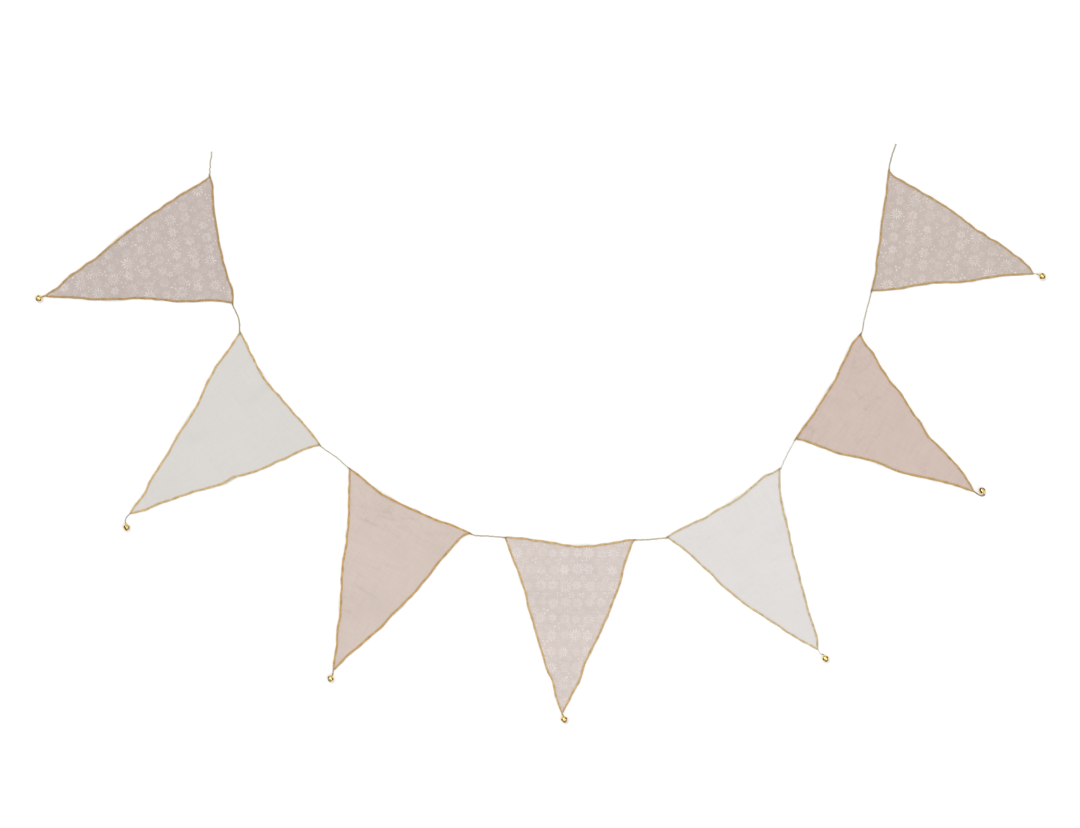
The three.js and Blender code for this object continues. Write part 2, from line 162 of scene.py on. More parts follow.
def read_along(at: np.ndarray, along: np.ndarray, rows: np.ndarray) -> np.ndarray:
    """Read rows of numbers, which stand at lengths along a line, at other lengths."""
    return np.stack([np.interp(at, along, column) for column in rows.T], axis=-1)


def spline(points: np.ndarray, count: int) -> np.ndarray:
    """Draw a smooth line through points.

    Args:
        points: the points that it passes through, in order.
        count: how many points the line gets.

    Returns:
        The line's points.
    """
    last = len(points) - 1
    turn = np.linspace(0, last, count)
    at = np.minimum(turn.astype(int), last - 1)
    share = (turn - at)[:, None]
    before, here, there, after = (points[np.clip(at + k, 0, last)] for k in (-1, 0, 1, 2))
    leave, arrive = (there - before) / 2, (after - here) / 2
    cubic = 2 * here - 2 * there + leave + arrive
    square = -3 * here + 3 * there - 2 * leave - arrive
    return ((cubic * share + square) * share + leave) * share + here


def laid(route: list[np.ndarray], step: float) -> np.ndarray:
    """Draw a smooth line along a route and divide it evenly.

    Args:
        route: the bends that it passes through, in order.
        step: about how far apart the line's points lie.

    Returns:
        The points, from end to end.
    """
    line = spline(np.array(route), ROUTE_FINENESS * len(route))
    along = lengths_along(line)
    return read_along(np.linspace(0, along[-1], max(2, round(along[-1] / step) + 1)), along, line)


@dataclass
class Shape:
    """A mesh in the making, in millimetres.

    points are its corners, each block of faces holds faces with like numbers of corners, and places says
    where each point lies in the finish's pattern.
    """

    points: np.ndarray
    faces: list[np.ndarray]
    places: np.ndarray

    @classmethod
    def join(cls, shapes: list["Shape"]) -> "Shape":
        """Put several shapes together as one.

        Args:
            shapes: the shapes, which keep their order.

        Returns:
            One shape that holds them all.
        """
        starts = np.cumsum([0] + [len(shape.points) for shape in shapes[:-1]])
        faces = [block + start for start, shape in zip(starts, shapes) for block in shape.faces]
        return cls(np.concatenate([shape.points for shape in shapes]), faces,
                   np.concatenate([shape.places for shape in shapes]))

    def moved(self, matrix: Matrix) -> "Shape":
        """Give the shape turned and moved by a matrix."""
        turn = np.array(matrix)
        return Shape(self.points @ turn[:3, :3].T + turn[:3, 3], self.faces, self.places)

    def piece(self, name: str, material: bpy.types.Material, slot: str, stands_for: list[str],
              sharp: float | None = None) -> bpy.types.Object:
        """Make the shape a piece of the bunting.

        Args:
            name: the piece's name.
            material: its finish.
            slot: not used.
            stands_for: the nodes that it replaces.
            sharp: the angle in degrees from which an edge is crisp, if any is.

        Returns:
            The new object, riding on the part's body.
        """
        mesh = bpy.data.meshes.new(name)
        faces = [face for block in self.faces for face in block.tolist()]
        mesh.from_pydata((self.points * MM).tolist(), [], faces)
        mesh.shade_smooth()
        if sharp is not None:
            mesh.set_sharp_from_angle(angle=math.radians(sharp))
        layer = mesh.attributes.new(PATTERN, "FLOAT_VECTOR", "POINT")
        layer.data.foreach_set("vector", self.places.astype(np.float32).ravel())
        mesh.materials.append(material)
        piece = bpy.data.objects.new(name, mesh)
        bpy.context.scene.collection.objects.link(piece)
        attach(piece, BODY)
        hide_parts(*stands_for)
        LOG.info("%s: %d faces, %s", name, len(faces), material.name)
        return piece


def sweep(path: np.ndarray, reference: np.ndarray, radius: float, sides: int, closed: bool = False,
          run: np.ndarray | None = None, crowd_shade: np.ndarray | None = None) -> Shape:
    """Draw a round thread or wire along a path.

    Args:
        path: the points down its middle.
        reference: for each point, a direction that isn't along the thread.
        radius: half its thickness.
        sides: how many faces go round it.
        closed: whether its end meets its start.
        run: how far along the piece each point lies, where that isn't its length along the thread.
        crowd_shade: painted shade where the thread is packed close, from 0 to 1, where it is at all.

    Returns:
        The closed tube. Its pattern places are the slanting length along and around it, the painted shade
        where it is packed close and the length along the piece.
    """
    if closed:
        tangent = unit(np.roll(path, -1, axis=0) - np.roll(path, 1, axis=0))
    else:
        tangent = unit(np.gradient(path, axis=0))
    across = unit(reference - (reference * tangent).sum(1, keepdims=True) * tangent)
    upright = np.cross(tangent, across)
    angle = np.linspace(0, 2 * math.pi, sides, endpoint=False)
    ring = np.cos(angle)[:, None] * across[:, None] + np.sin(angle)[:, None] * upright[:, None]
    points = (path[:, None] + radius * ring).reshape(-1, 3)
    along = lengths_along(path)
    run = along if run is None else run
    crowd_shade = 0 * along if crowd_shade is None else crowd_shade
    slant = along[:, None] + radius * angle
    places = np.stack(np.broadcast_arrays(slant, crowd_shade[:, None], run[:, None]), axis=-1).reshape(-1, 3)
    index = np.arange(len(points)).reshape(len(path), sides)
    beside = np.roll(index, -1, axis=1)
    quads = np.stack([index, beside, np.roll(beside, -1, axis=0), np.roll(index, -1, axis=0)], axis=-1)
    if closed:
        return Shape(points, [quads.reshape(-1, 4)], places)
    return Shape(points, [quads[:-1].reshape(-1, 4), np.stack([index[0, ::-1], index[-1]])], places)


@dataclass(frozen=True)
class Twist:
    """A cord laid up from plies that run round one another."""

    plies: int
    ply_radius: float
    lay_radius: float
    pitch: float
    sides: int = 7
    step: float = 0.4
    # The shares by which frayed plies untwist and spread
    untwist: float = 0.25
    spread: float = 1.2

    def shape(self, line: np.ndarray, frayed: float = 0.0) -> Shape:
        """Twist the plies along a line.

        Args:
            line: the points down the middle of the cord.
            frayed: the length over which the plies come apart at its far end.

        Returns:
            The plies as one shape.
        """
        along = lengths_along(line)
        tangent = unit(np.gradient(line, axis=0))
        beside = unit(np.cross(UP, tangent))
        upright = np.cross(tangent, beside)
        loose = np.clip((along - along[-1] + frayed) / frayed, 0, 1) ** 2 if frayed else 0 * along
        plies = []
        for ply in range(self.plies):
            turn = 2 * math.pi * (along / self.pitch * (1 - self.untwist * loose) + ply / self.plies)
            out = np.cos(turn)[:, None] * beside + np.sin(turn)[:, None] * upright
            lay = self.lay_radius * (1 + self.spread * loose)
            path = line + lay[:, None] * out
            path[:, 2] = np.maximum(path[:, 2], self.ply_radius)
            plies.append(sweep(path, out, self.ply_radius, self.sides))
        return Shape.join(plies)


STRING_TWIST = Twist(plies=3, ply_radius=0.41, lay_radius=0.35, pitch=4.4)
THREAD_TWIST = Twist(plies=2, ply_radius=0.26, lay_radius=0.22, pitch=2.4, sides=6, step=0.3)
# Two strands of the thread, or a chain of the edging's, run on together
DOUBLE_TWIST = Twist(plies=2, ply_radius=0.34, lay_radius=0.3, pitch=2.8, sides=6, step=0.3)
CHAIN_TWIST = Twist(plies=3, ply_radius=0.4, lay_radius=0.4, pitch=3.6, sides=6, step=0.3)


@dataclass(frozen=True)
class Motif:
    """One motif of the print, repeated in staggered rows.

    pitch and row_pitch say how far apart it stands along the rows and across them, and shift where the
    repeat starts. petal_half and heart are half a petal's width and the size of the middle, as shares of the
    radius. An outlined petal is left open inside.
    """

    pitch: float
    row_pitch: float
    shift: tuple[float, float]
    radius: float
    petals: int
    petal_half: float
    heart: float = 0.01
    outlined: bool = False
    # A flower stands up to half this share of the pitch off the middle of its cell, and may shrink this much
    drift: float = 0.125
    shrink: float = 1.3
    # Each petal is an ellipse on its spoke: its middle and half its length, as shares of the radius
    petal_middle: float = 0.63
    petal_reach: float = 0.37
    # In shares of that ellipse, how far the ink is full, where it ends, and where an open petal's line runs
    ink_full: float = 0.7
    ink_end: float = 1.2
    outline_at: float = 0.75
    # The share of the heart that is full of ink, and how much ink the faintest flower has
    heart_full: float = 0.6
    faintest: float = 0.5


# Daisies of thin rays, open blossoms, two small sprigs between their rows, and specks all over
DITSY_PRINT = (
    Motif(30.0, 20.5, (4.0, 7.0), radius=8.6, petals=11, petal_half=0.095, heart=0.14),
    Motif(30.0, 20.5, (19.0, 7.0), radius=6.8, petals=6, petal_half=0.26, heart=0.1, outlined=True),
    Motif(30.0, 20.5, (11.5, 17.25), radius=5.0, petals=3, petal_half=0.2),
    Motif(30.0, 20.5, (26.5, 17.25), radius=4.6, petals=5, petal_half=0.15),
    Motif(10.0, 8.4, (2.0, 3.0), radius=1.2, petals=1, petal_half=0.3),
)


@dataclass(frozen=True)
class GauzeFinish:
    """Cotton gauze, plain woven and washed soft.

    It gives a matt, even face with slubs along both threads, a fine weave and a faint nap at the sides. Its
    colour is painted darker between the weave's threads and lighter on the ones on top: painted shade.
    """

    name: str
    # The cloth's colour, which carries its flag's painted light
    lit_dye: str
    printed: bool
    slub_length: float
    slub_gain: float
    slub_width: float = 2.2
    # The slubs' share of the relief, against the weave's 1
    slub_relief: float = 0.8
    # Real gauze has about 1 mm from thread to thread. It is drawn coarser, so that it shows in a close view.
    thread_spacing: float = 1.4
    thread_relief: float = 0.2
    # The weave's share of the tone, against the slubs' 1: painted shade, darker between the threads
    weave_shade: float = 0.3
    cloud_size: float = 60.0
    ink: str = "#F5F1F0"
    ink_cover: float = 0.72
    # The threads' share in how the ink has taken, against the grain's 1
    ink_threads: float = 0.5
    # The share of the cover that is left where it has sunk in most, and where it has worn most
    ink_sunk: float = 0.2
    ink_worn: float = 0.4
    ink_grain: float = 2.0
    ink_patch: float = 11.0
    # The cloth has moved under the block, so a line strays this far from side to side over this length
    ink_stray: float = 1.5
    ink_stray_length: float = 4.0

    def material(self) -> bpy.types.Material:
        """Make the material from the cloth's own flat millimetres.

        Returns:
            The gauze's material.
        """
        made = bpy.data.materials.new(self.name)
        add = emptied(made)
        place = add("Attribute", attribute_name=PATTERN)["Vector"]
        weave = self.weave(add, place)
        slubs = self.slubs(add, place)
        # The weave darkens the colour between its threads and lightens it on top: painted shade
        lit = add("Math", {0: weave, 1: self.weave_shade, 2: slubs}, operation="MULTIPLY_ADD")[0]
        share = add("MapRange", {"Value": lit, "From Max": 1 + self.weave_shade})[0]
        colour = add("Mix", {"Factor": share, MIX_A: linear(self.lit_dye, 1 / self.slub_gain),
                             MIX_B: linear(self.lit_dye, self.slub_gain)}, data_type="RGBA")[MIX_RESULT]
        if self.printed:
            ink = self.print_mask(add, place, weave)
            colour = add("Mix", {"Factor": ink, MIX_A: colour, MIX_B: linear(self.ink)},
                         data_type="RGBA")[MIX_RESULT]
        relief = add("Math", {0: slubs, 1: self.slub_relief, 2: weave}, operation="MULTIPLY_ADD")[0]
        bump = add("Bump", {"Height": relief, "Strength": 0.55, "Distance": self.thread_relief * MM})[0]
        rough = add("MapRange", {"Value": weave, "To Min": 0.97, "To Max": 0.86})[0]
        shader = add("BsdfPrincipled", {"Base Color": colour, "Roughness": rough, "Normal": bump,
                                        "Specular IOR Level": 0.25, "Sheen Weight": 0.18,
                                        "Sheen Roughness": 0.6})[0]
        add("OutputMaterial", {"Surface": shader})
        return made

    def weave(self, add: NodeAdder, place: Socket) -> Socket:
        """Weave warp over weft, one and one.

        Args:
            add: adds a node to the material.
            place: the cloth's flat millimetres.

        Returns:
            The height of the thread that lies on top, from 0 to 1.
        """
        warp, weft = (
            add("TexWave", {"Vector": place, "Scale": WAVE_PERIOD / self.thread_spacing, "Distortion": 1.5,
                            "Detail": 1.0, "Detail Scale": 0.6}, bands_direction=way)["Fac"]
            for way in ("X", "Y")
        )
        over = add("TexChecker", {"Vector": place, "Scale": 1 / self.thread_spacing})["Fac"]
        return add("Mix", {"Factor": over, "A": warp, "B": weft})[0]

    def slubs(self, add: NodeAdder, place: Socket) -> Socket:
        """Draw the thicker stretches of both threads and the cloth's slow clouding.

        Args:
            add: adds a node to the material.
            place: the cloth's flat millimetres.

        Returns:
            How slubby the cloth is, from 0 to 1.
        """
        sizes = ((self.slub_length, self.slub_width), (self.slub_width, self.slub_length),
                 (self.cloud_size, self.cloud_size))
        layers = []
        for across, along in sizes:
            scaled = add("VectorMath", {0: place, 1: (1 / across, 1 / along, 1.0)}, operation="MULTIPLY")[0]
            layers.append(add("TexNoise", {"Vector": scaled, "Scale": 1.0, "Detail": 2.0})["Fac"])
        total, *others = layers
        for layer in others:
            total = add("Math", {0: total, 1: layer}, operation="ADD")[0]
        return add("MapRange", {"Value": total, "From Min": 1.0, "From Max": 2.0})[0]

    def print_mask(self, add: NodeAdder, place: Socket, weave: Socket) -> Socket:
        """Print small flowers in pale ink that has sunk in unevenly.

        Args:
            add: adds a node to the material.
            place: the cloth's flat millimetres.
            weave: the height of the threads, which take the ink on top.

        Returns:
            How much ink covers the cloth, from 0 to 1.
        """
        stray = add("TexNoise", {"Vector": place, "Scale": 1 / self.ink_stray_length})["Color"]
        drawn = add("VectorMath", {0: stray, 1: (self.ink_stray, self.ink_stray, 0.0), 2: place},
                    operation="MULTIPLY_ADD")[0]
        cover, *others = [self.flowers(add, drawn, motif) for motif in DITSY_PRINT]
        for mask in others:
            cover = add("Math", {0: cover, 1: mask}, operation="MAXIMUM")[0]
        grain, patch = (add("TexNoise", {"Vector": place, "Scale": 1 / size, "Detail": 2.0})["Fac"]
                        for size in (self.ink_grain, self.ink_patch))
        held = add("Math", {0: weave, 1: self.ink_threads, 2: grain}, operation="MULTIPLY_ADD")[0]
        held = add("MapRange", {"Value": held, "From Min": 0.45, "From Max": 1.0,
                                "To Min": self.ink_sunk * self.ink_cover, "To Max": self.ink_cover})[0]
        worn = add("MapRange", {"Value": patch, "From Min": 0.35, "From Max": 0.65,
                                "To Min": self.ink_worn})[0]
        held = add("Math", {0: held, 1: worn}, operation="MULTIPLY")[0]
        return add("Math", {0: cover, 1: held}, operation="MULTIPLY")[0]

    @staticmethod
    def flowers(add: NodeAdder, place: Socket, motif: Motif) -> Socket:
        """Set one motif in staggered rows, each copy turned its own way and of its own size.

        Args:
            add: adds a node to the material.
            place: the cloth's flat millimetres.
            motif: what is drawn, and how far apart.

        Returns:
            1 inside a petal or the flower's heart, and 0 outside.
        """
        pitch, row_pitch, radius = motif.pitch, motif.row_pitch, motif.radius
        moved = add("VectorMath", {0: place, 1: (*motif.shift, 0.0)}, operation="ADD")[0]
        scaled = add("VectorMath", {0: moved, 1: (1 / pitch, 1 / row_pitch, 0.0)}, operation="MULTIPLY")[0]
        split = add("SeparateXYZ", {0: scaled})
        row = add("Math", {0: split["Y"]}, operation="FLOOR")[0]
        odd = add("Math", {0: row, 1: 2.0}, operation="FLOORED_MODULO")[0]
        staggered = add("Math", {0: odd, 1: 0.5, 2: split["X"]}, operation="MULTIPLY_ADD")[0]
        column = add("Math", {0: staggered}, operation="FLOOR")[0]
        # Each cell draws its own chances, and the number of petals keeps one motif's from another's
        cell = add("CombineXYZ", {0: column, 1: row, 2: float(motif.petals)})[0]
        chance = add("TexWhiteNoise", {"Vector": cell}, noise_dimensions="3D")
        inside = add("CombineXYZ", {0: staggered, 1: split["Y"]})[0]
        inside = add("VectorMath", {0: inside}, operation="FRACTION")[0]
        middle = -0.5 - motif.drift / 2
        drift = add("VectorMath", {0: chance["Color"], 1: (motif.drift, motif.drift, 0.0),
                                   2: (middle, middle, 0.0)}, operation="MULTIPLY_ADD")[0]
        inside = add("VectorMath", {0: inside, 1: drift}, operation="ADD")[0]
        inside = add("VectorMath", {0: inside, 1: (pitch / radius, row_pitch / radius, 0.0)},
                     operation="MULTIPLY")[0]
        third = add("SeparateXYZ", {0: chance["Color"]})["Z"]
        shrunk = add("MapRange", {"Value": third, "To Min": 1.0, "To Max": motif.shrink})[0]
        inside = add("VectorMath", {0: inside, "Scale": shrunk}, operation="SCALE")[0]
        split = add("SeparateXYZ", {0: inside})
        out = add("VectorMath", {0: inside}, operation="LENGTH")["Value"]
        angle = add("Math", {0: split["Y"], 1: split["X"]}, operation="ARCTAN2")[0]
        turned = add("Math", {0: chance["Value"], 1: 2 * math.pi, 2: angle}, operation="MULTIPLY_ADD")[0]
        half_turn = math.pi / motif.petals
        lean = add("Math", {0: turned, 1: half_turn, 2: -half_turn}, operation="WRAP")[0]
        along, beside = (add("Math", {0: lean}, operation=wave)[0] for wave in ("COSINE", "SINE"))
        spoke = add("CombineXYZ", {0: along, 1: beside})[0]
        spoke = add("VectorMath", {0: spoke, "Scale": out}, operation="SCALE")[0]
        spoke = add("VectorMath", {0: spoke, 1: (1 / motif.petal_reach, 1 / motif.petal_half, 0.0),
                                   2: (-motif.petal_middle / motif.petal_reach, 0.0, 0.0)},
                    operation="MULTIPLY_ADD")[0]
        off = add("VectorMath", {0: spoke}, operation="LENGTH")["Value"]
        if motif.outlined:
            off = add("Math", {0: off, 1: motif.outline_at}, operation="SUBTRACT")[0]
            off = add("Math", {0: off}, operation="ABSOLUTE")[0]
            off = add("Math", {0: off, 1: motif.ink_full}, operation="ADD")[0]
        reaches = ((off, motif.ink_full, motif.ink_end),
                   (out, motif.heart_full * motif.heart, motif.heart))
        petal, heart = (
            add("MapRange", {"Value": value, "From Min": full, "From Max": end, "To Min": 1.0,
                             "To Max": 0.0}, interpolation_type="SMOOTHSTEP")[0]
            for value, full, end in reaches
        )
        both = add("Math", {0: petal, 1: heart}, operation="MAXIMUM")[0]
        # The block leaves more ink in some flowers than in others
        inked = add("MapRange", {"Value": chance["Value"], "To Min": motif.faintest})[0]
        return add("Math", {0: both, 1: inked}, operation="MULTIPLY")[0]


@dataclass(frozen=True)
class ThreadFinish:
    """Spun thread or string, twisted from fibres.

    It gives fine slanting ridges, a tone that wanders along the sewn run and a soft gloss. Its grooves are
    painted a little darker and its ridges lighter: painted shade. Where the thread is packed close, at the
    corners and knots, its colour is darkened further: painted shade.
    """

    name: str
    colour: str
    # Real fibres are far finer. A ridge this wide is the finest that a close view shows.
    ridge: float = 0.45
    ridge_relief: float = 0.1
    # The ridges' share of the tone, against 1 for what wanders along the thread: painted shade in the
    # grooves
    ridge_groove_shade: float = 0.25
    tone_length: float = 9.0
    tone_gain: float = 1.15
    # How dark the painted shade makes the thread where it is packed close
    crowd_shade_gain: float = 0.5
    roughness: float = 0.6
    # How much rougher its dark stretches are, and how much smoother its light ones
    rougher: float = 0.12
    smoother: float = 0.08
    sheen: float = 0.2

    def material(self) -> bpy.types.Material:
        """Make the material from the lengths along and around the thread.

        Returns:
            The thread's material.
        """
        made = bpy.data.materials.new(self.name)
        add = emptied(made)
        place = add("Attribute", attribute_name=PATTERN)["Vector"]
        fibres = add("TexWave", {"Vector": place, "Scale": WAVE_PERIOD / self.ridge, "Distortion": 2.0,
                                 "Detail": 1.5}, bands_direction="X")["Fac"]
        along = add("VectorMath", {0: place, 1: (0.0, 0.0, 1 / self.tone_length)}, operation="MULTIPLY")[0]
        tone = add("TexNoise", {"Vector": along, "Scale": 1.0, "Detail": 3.0})["Fac"]
        # The ridges' tops are lighter and their grooves darker: painted shade
        mixed = add("Math", {0: fibres, 1: self.ridge_groove_shade, 2: tone}, operation="MULTIPLY_ADD")[0]
        share = add("MapRange", {"Value": mixed, "From Min": 0.37, "From Max": 0.87})[0]
        colour = add("Mix", {"Factor": share, MIX_A: linear(self.colour, 1 / self.tone_gain),
                             MIX_B: linear(self.colour, self.tone_gain)}, data_type="RGBA")[MIX_RESULT]
        # Where the thread is packed close, its colour is darkened: painted shade
        crowd_shade = add("SeparateXYZ", {0: place})["Y"]
        colour = add("Mix", {"Factor": crowd_shade, MIX_A: colour,
                             MIX_B: linear(self.colour, self.crowd_shade_gain)}, data_type="RGBA")[MIX_RESULT]
        bump = add("Bump", {"Height": fibres, "Strength": 0.5, "Distance": self.ridge_relief * MM})[0]
        rough = add("MapRange", {"Value": tone, "To Min": self.roughness + self.rougher,
                                 "To Max": self.roughness - self.smoother})[0]
        shader = add("BsdfPrincipled", {"Base Color": colour, "Roughness": rough, "Normal": bump,
                                        "Specular IOR Level": 0.35, "Sheen Weight": self.sheen,
                                        "Sheen Roughness": 0.5})[0]
        add("OutputMaterial", {"Surface": shader})
        return made


@dataclass(frozen=True)
class BrassFinish:
    """Brass sheet, stamped into cups and tumbled bright.

    It gives a warm mirror that is slightly clouded, with browner patches where it has begun to tarnish.
    Along the cut slots and inside, it is darkened to near-black: partly tarnish and dull, unpolished brass,
    partly painted shade that makes the slots and holes read dark.
    """

    name: str
    colour: str
    tarnish: str
    # The near-black of the inside and the slot edges: partly dull brass, partly painted shade
    inside: str
    # The bell's own size, which says where its inside begins
    radius: float
    wall: float
    cloud_size: float = 2.6
    tumble_size: float = 0.5
    tumble_relief: float = 0.03
    inside_roughening: float = 0.4
    # How far the clouding shifts the tarnish and painted shade beside the slots
    tarnish_and_shade_stray: float = 1.6

    def material(self) -> bpy.types.Material:
        """Make the material from the bell's own millimetres.

        Returns:
            The brass's material.
        """
        made = bpy.data.materials.new(self.name)
        add = emptied(made)
        place = add("Attribute", attribute_name=PATTERN)["Vector"]
        cloud = add("TexNoise", {"Vector": place, "Scale": 1 / self.cloud_size, "Detail": 3.0})["Fac"]
        marks = add("TexNoise", {"Vector": place, "Scale": 1 / self.tumble_size, "Detail": 2.0})["Fac"]
        share = add("MapRange", {"Value": cloud, "From Min": 0.48, "From Max": 0.72})[0]
        colour = add("Mix", {"Factor": share, MIX_A: linear(self.colour), MIX_B: linear(self.tarnish)},
                     data_type="RGBA")[MIX_RESULT]
        out = add("VectorMath", {0: place}, operation="LENGTH")["Value"]
        # Inside the ball: dull, unpolished brass, darkened to near-black partly as painted shade
        inside_shade_share = add("MapRange", {"Value": out, "From Min": self.radius - 0.5 * self.wall,
                                  "From Max": self.radius - 0.9 * self.wall})[0]
        # Beside the slots and inside, the brass is darkened to near-black: partly tarnish, partly painted
        # shade
        for dark in (self.slot_tarnish_and_shade(add, place, cloud), inside_shade_share):
            colour = add("Mix", {"Factor": dark, MIX_A: colour, MIX_B: linear(self.inside)},
                         data_type="RGBA")[MIX_RESULT]
        rough = add("MapRange", {"Value": cloud, "From Min": 0.35, "From Max": 0.7, "To Min": 0.18,
                                 "To Max": 0.32})[0]
        rough = add("Math", {0: inside_shade_share, 1: self.inside_roughening, 2: rough}, operation="MULTIPLY_ADD",
                    use_clamp=True)[0]
        bump = add("Bump", {"Height": marks, "Strength": 0.25, "Distance": self.tumble_relief * MM})[0]
        shader = add("BsdfPrincipled", {"Base Color": colour, "Metallic": 1.0, "Roughness": rough,
                                        "Normal": bump})[0]
        add("OutputMaterial", {"Surface": shader})
        return made

    def slot_tarnish_and_shade(self, add: NodeAdder, place: Socket, cloud: Socket) -> Socket:
        """Darken the brass beside the two slots and round their ends: partly tarnish, partly painted shade.

        Args:
            add: adds a node to the material.
            place: the bell's own millimetres, with the loop on +Y.
            cloud: how clouded the brass is, which makes the tarnish and painted shade uneven.

        Returns:
            How dark the tarnish and painted shade are, from 0 to 1.
        """
        split = add("SeparateXYZ", {0: place})
        across, upright = (add("Math", {0: split[axis]}, operation="ABSOLUTE")[0] for axis in ("X", "Z"))
        beside = add("Math", {0: across, 1: upright}, operation="MINIMUM")[0]
        strayed = add("Math", {0: cloud, 1: self.tarnish_and_shade_stray, 2: beside}, operation="MULTIPLY_ADD")[0]
        # The slots end a little below the seam, and the tarnish and painted shade fade out above their round
        # ends
        above = add("MapRange", {"Value": split["Y"], "From Min": 0.1, "From Max": 1.3, "To Max": 2.0})[0]
        off = add("Math", {0: strayed, 1: above}, operation="ADD")[0]
        return add("MapRange", {"Value": off, "From Min": 1.0, "From Max": 2.1, "To Min": 0.85,
                                "To Max": 0.0}, interpolation_type="SMOOTHSTEP")[0]


@dataclass(frozen=True)
class BoardFinish:
    """Painted board, rolled matt: an even white with hardly any gloss and a trace of roller stipple."""

    name: str
    colour: str
    shade: str
    stipple: float = 4.0

    def material(self) -> bpy.types.Material:
        """Make the material from the board's own place.

        Returns:
            The board's material.
        """
        made = bpy.data.materials.new(self.name)
        add = emptied(made)
        place = add("TexCoord")["Object"]
        stipple = add("TexNoise", {"Vector": place, "Scale": 1 / (self.stipple * MM)})["Fac"]
        colour = add("Mix", {"Factor": stipple, MIX_A: linear(self.colour), MIX_B: linear(self.shade)},
                     data_type="RGBA")[MIX_RESULT]
        shader = add("BsdfPrincipled", {"Base Color": colour, "Roughness": 0.95,
                                        "Specular IOR Level": 0.1})[0]
        add("OutputMaterial", {"Surface": shader})
        return made


@dataclass(frozen=True)
class Ridge:
    """A soft fold or crease between two points of a flag, given as right and down from the base's middle."""

    start: tuple[float, float]
    end: tuple[float, float]
    rise: float
    half: float

    def lift(self, places: np.ndarray) -> np.ndarray:
        """Work out how far the ridge lifts the cloth.

        Args:
            places: points on the flag, right and up from the base's middle.

        Returns:
            The lift at each point.
        """
        start = np.array([self.start[0], -self.start[1]])
        run = np.array([self.end[0], -self.end[1]]) - start
        share = np.clip((places - start) @ run / (run @ run), 0, 1)
        off = np.linalg.norm(places - start - share[:, None] * run, axis=1) / self.half
        return self.rise * np.maximum(1 - off ** 2, 0) ** 2


@dataclass
class EdgeLine:
    """One uneven edge of a flag, from corner to corner, through its waves.

    A wave (share, out) moves the edge outwards by out at that share of the straight edge. out_sign says on
    which side of its heading the outside lies, and seed sets how the cut strays a little between the waves.
    """

    start: tuple[float, float]
    end: tuple[float, float]
    waves: list[tuple[float, float]]
    out_sign: int
    seed: int
    fineness: int = 1600
    wander: float = 0.12
    wander_waves: int = 7
    wander_lengths: tuple[float, float] = (17.0, 46.0)
    wander_free: float = 16.0

    def __post_init__(self) -> None:
        """Draw the line and measure it."""
        start, end = np.array(self.start), np.array(self.end)
        run = end - start
        out = self.out_sign * unit(np.array([run[1], -run[0]]))
        bends = [start + share * run + amount * out for share, amount in self.waves]
        self.line = spline(np.array([start, *bends, end]), self.fineness)
        along = lengths_along(self.line)
        free = np.clip(np.minimum(along, along[-1] - along) / self.wander_free, 0, 1)
        chance = np.random.default_rng(self.seed)
        for _ in range(self.wander_waves):
            phase, wave = chance.uniform(0, 2 * math.pi), chance.uniform(*self.wander_lengths)
            stray = self.wander * free ** 2 * np.sin(2 * math.pi * along / wave + phase)
            self.line += stray[:, None] * out
        self.along = lengths_along(self.line)
        self.headings = unit(np.gradient(self.line, self.along, axis=0))

    @property
    def length(self) -> float:
        """The edge's length."""
        return float(self.along[-1])

    def heading(self, arc: np.ndarray) -> np.ndarray:
        """Give which way the edge runs at lengths along it."""
        return unit(read_along(arc, self.along, self.headings))

    def outward(self, arc: np.ndarray) -> np.ndarray:
        """Give which way the outside lies at lengths along the edge."""
        heading = self.heading(arc)
        return self.out_sign * np.stack([heading[..., 1], -heading[..., 0]], axis=-1)

    def at(self, arc: np.ndarray) -> np.ndarray:
        """Give the edge's points.

        Args:
            arc: lengths along it, which may run straight on past its ends.

        Returns:
            A point for each length.
        """
        arc = np.asarray(arc, float)
        past = arc - np.clip(arc, 0, self.length)
        return read_along(arc, self.along, self.line) + past[..., None] * self.heading(arc)


@dataclass(frozen=True)
class Panel:
    """How a flag's cloth lies: its level in the open, half its thickness, and its finer marks."""

    divisions: int = 120
    level: float = 0.7
    half: float = 0.25
    # The share of its thickness that the stitches press out, over what length, and its least clearance
    pressed: float = 0.6
    edge_blend: float = 3.0
    clearance: float = 0.04
    # The waves that gauze keeps from the wash. Their headings lie about square to the base.
    crinkle_waves: int = 14
    crinkle_lengths: tuple[float, float] = (7.0, 19.0)
    crinkle_lean: float = 0.55
    crinkle_rise: float = 0.035
    # Short wrinkles in clusters. The share of the flag's area above a cluster lies between wrinkle_shares.
    wrinkle_seed: int = 100
    wrinkle_clusters: int = 9
    wrinkle_shares: tuple[float, float] = (0.02, 0.95)
    wrinkles_in_cluster: int = 6
    wrinkle_spread: float = 9.0
    wrinkle_lean: float = 0.3
    wrinkle_lengths: tuple[float, float] = (7.0, 24.0)
    wrinkle_halves: tuple[float, float] = (1.5, 3.0)
    wrinkle_faintest: float = 0.4
    # How far apart the flags' cloths lie in the pattern
    pattern_step: float = 100.0


